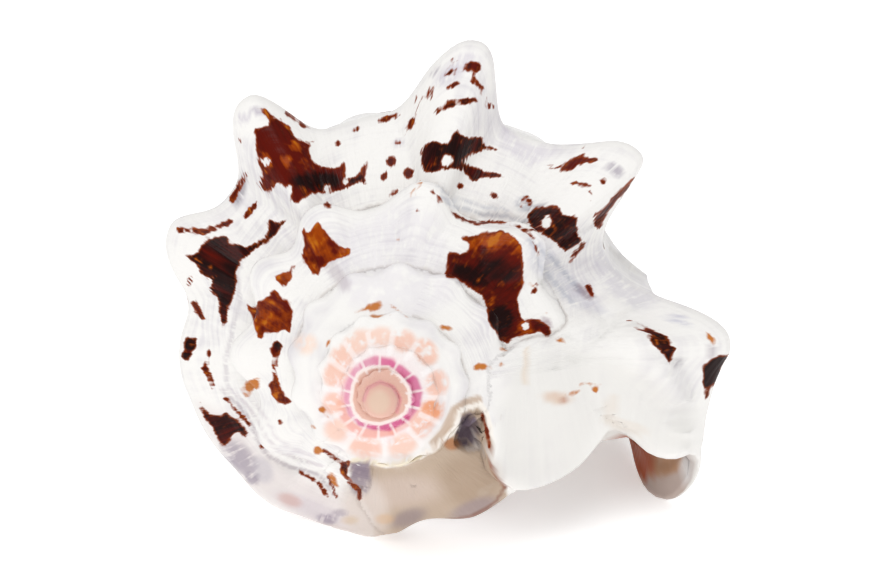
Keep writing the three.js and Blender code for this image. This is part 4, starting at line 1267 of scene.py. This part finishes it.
def makeAragonite(look):
    material = bpy.data.materials.new("aragoniteShell")
    material.use_nodes = True
    tree = material.node_tree
    tree.nodes.clear()

    def field(name):
        return addNode(tree, "ShaderNodeAttribute", {"attribute_name": name}).outputs["Fac"]

    def calc(kind, a, b=0.0, c=0.0):
        return addNode(tree, "ShaderNodeMath", {"operation": kind}, {0: a, 1: b, 2: c}).outputs[0]

    def rise(value, edge):
        return addNode(tree, "ShaderNodeMapRange", {"interpolation_type": "SMOOTHSTEP"},
                       {"Value": value, "From Min": edge[0], "From Max": edge[1]}).outputs["Result"]

    def mix(factor, a, b):
        return addNode(tree, "ShaderNodeMix", {"data_type": "RGBA"}, {0: factor, 6: a, 7: b}).outputs[2]

    def grain(vector, scale, detail):
        inputs = {"Vector": vector, "Scale": scale, "Detail": detail}
        return calc("SUBTRACT", addNode(tree, "ShaderNodeTexNoise", {}, inputs).outputs["Fac"], 0.5)

    # noise drawn out along the whorls
    def drawnOut(course, perRow, detail):
        across = calc("MULTIPLY", field("row"), perRow)
        vector = addNode(tree, "ShaderNodeCombineXYZ", {}, {0: course, 1: across}).outputs[0]
        return grain(vector, 1.0, detail)

    def tint(colour, tone, factor):
        return mix(factor, colour, linear(look[tone]))

    # a mark laid over a colour, uneven by the noise; or over all that lies outside the mark
    def marked(colour, tone, name, value, noise, outside=False):
        uneven, edge, most = look[name]
        amount = rise(calc("MULTIPLY_ADD", noise, uneven, value), edge)
        amount = calc("SUBTRACT", 1.0, amount) if outside else amount
        return tint(colour, tone, calc("MULTIPLY", amount, most))

    # a painted layer thinned by an amount: the colour under its cover, and the layer on top
    def cover(colour, name, amount):
        layer = addNode(tree, "ShaderNodeAttribute", {"attribute_name": name}).outputs["Vector"]
        uncovered = calc("SUBTRACT", 1.0, calc("MULTIPLY", field(name + "Cover"), amount))
        below = addNode(tree, "ShaderNodeVectorMath", {"operation": "MULTIPLY"}, {0: colour, 1: uncovered})
        return addNode(tree, "ShaderNodeVectorMath", {"operation": "MULTIPLY_ADD"},
                       {0: layer, 1: amount, 2: below.outputs[0]}).outputs[0]

    where = addNode(tree, "ShaderNodeTexCoord").outputs["Object"]
    ragged = grain(where, 1000 / look["raggedMm"], 1.5)
    soft = grain(where, 1000 / look["softMm"], 3.0)
    lines = drawnOut(calc("DIVIDE", field("course"), look["lineMm"]), look["linesPerRow"], 2.0)
    bands = drawnOut(calc("MULTIPLY", field("course"), look["bandsPerMm"]), look["linesPerRow"], 3.0)
    plain = calc("SUBTRACT", 1.0, field("smooth"))
    along = calc("MULTIPLY", field("course"), look["threadsPerMm"])
    threads = calc("MULTIPLY", drawnOut(along, look["threadsPerRow"], 2.0), plain)

    # the pale ground: cream and lilac grey, then the painted layers and painted shade in the sutures
    streaks = calc("MULTIPLY_ADD", threads, 0.5, calc("MULTIPLY_ADD", bands, 0.5, soft))
    base = mix(rise(streaks, look["shadeEdge"]), linear(look["cream"]), linear(look["shade"]))
    base = tint(base, "inner", field("inner"))
    base = tint(base, "tan", field("tan"))
    # the washed and mottled layers, with painted shade among them
    base = cover(base, "wash", rise(soft, look["washEdge"]))
    mottled = calc("MULTIPLY_ADD", lines, look["mottleRagged"], ragged)
    base = cover(base, "mottleAndShade", rise(mottled, look["mottleEdge"]))
    # painted shade: the ground darkened close to the sutures, where the whorls meet
    base = mix(plain, base, marked(base, "sutureShade", "suture", field("seam"), ragged, outside=True))

    # the blotches, and the painted shadow strokes that share their field: brown with a dark heart, amber
    # glow, gold glints and an amber fringe
    flecks = calc("ADD", bands, calc("ADD", lines, ragged))
    grown = calc("MULTIPLY_ADD", lines, look["blotchRagged"], calc("ADD", field("brown"), look["blotchMore"]))
    inside = calc("MULTIPLY_ADD", ragged, look["blotchRagged"], grown)
    blotchAndShadow = marked(linear(look["brown"]), "dark", "heart", field("deep"), calc("ADD", bands, lines))
    blotchAndShadow = marked(blotchAndShadow, "amber", "glow", field("amber"), flecks)
    blotchAndShadow = marked(blotchAndShadow, "gold", "glint", field("amber"), flecks)
    blotchAndShadow = marked(blotchAndShadow, "amber", "fringe", inside, ragged, outside=True)
    colour = mix(rise(inside, look["blotchEdge"]), base, blotchAndShadow)
    colour = marked(colour, "gold", "speck", field("spots"), ragged)

    bump = addNode(tree, "ShaderNodeBump", {}, {
        "Strength": look["bump"], "Distance": look["bumpDepth"],
        "Height": calc("MULTIPLY_ADD", threads, look["threadBump"], lines)})
    surface = addNode(tree, "ShaderNodeBsdfPrincipled", {}, {
        "Base Color": colour, "Roughness": look["roughness"], "IOR": look["ior"],
        "Specular IOR Level": look["specular"], "Normal": bump.outputs[0]})
    addNode(tree, "ShaderNodeOutputMaterial", {}, {"Surface": surface.outputs[0]})
    return material


piece.data.materials.clear()
piece.data.materials.append(makeAragonite(aragonite))
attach(piece, "root")
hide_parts("shell")
print("material made")

# a white table that glows a little, under soft lamps: name, place, size and power
studio = {
    "world": 0.6,
    "floor": "#ffffff",
    "floorHalf": 4.0,
    "floorGlow": 0.38,
    "floorRoughness": 0.9,
    "lamps": [
        ("above", (-0.12, -0.35, 0.92), 0.6, 3.9),
        ("front", (0.25, -1.2, 0.6), 0.8, 1.1),
    ],
}
world = bpy.data.worlds.new("studio")
bpy.context.scene.world = world
world.use_nodes = True
world.node_tree.nodes["Background"].inputs["Color"].default_value = (1, 1, 1, 1)
world.node_tree.nodes["Background"].inputs["Strength"].default_value = studio["world"]
for name, spot, size, power in studio["lamps"]:
    lamp = bpy.data.lights.new(name, "AREA")
    lamp.size = size
    lamp.energy = power
    lampObject = addObject(name, lamp)
    lampObject.location = spot
    lampObject.rotation_euler = (-Vector(spot)).to_track_quat("-Z", "Y").to_euler()

half = studio["floorHalf"]
floorMesh = bpy.data.meshes.new("floor")
corners = [(-half, -half, 0), (half, -half, 0), (half, half, 0), (-half, half, 0)]
floorMesh.from_pydata(corners, [], [(0, 1, 2, 3)])
floor = addObject("floor", floorMesh)
paper = bpy.data.materials.new("whitePaper")
paper.use_nodes = True
paperLook = paper.node_tree.nodes["Principled BSDF"].inputs
paperLook["Base Color"].default_value = linear(studio["floor"])
paperLook["Roughness"].default_value = studio["floorRoughness"]
paperLook["Emission Color"].default_value = linear(studio["floor"])
paperLook["Emission Strength"].default_value = studio["floorGlow"]
floorMesh.materials.append(paper)
bpy.context.scene.view_settings.view_transform = "Standard"
print("studio set")
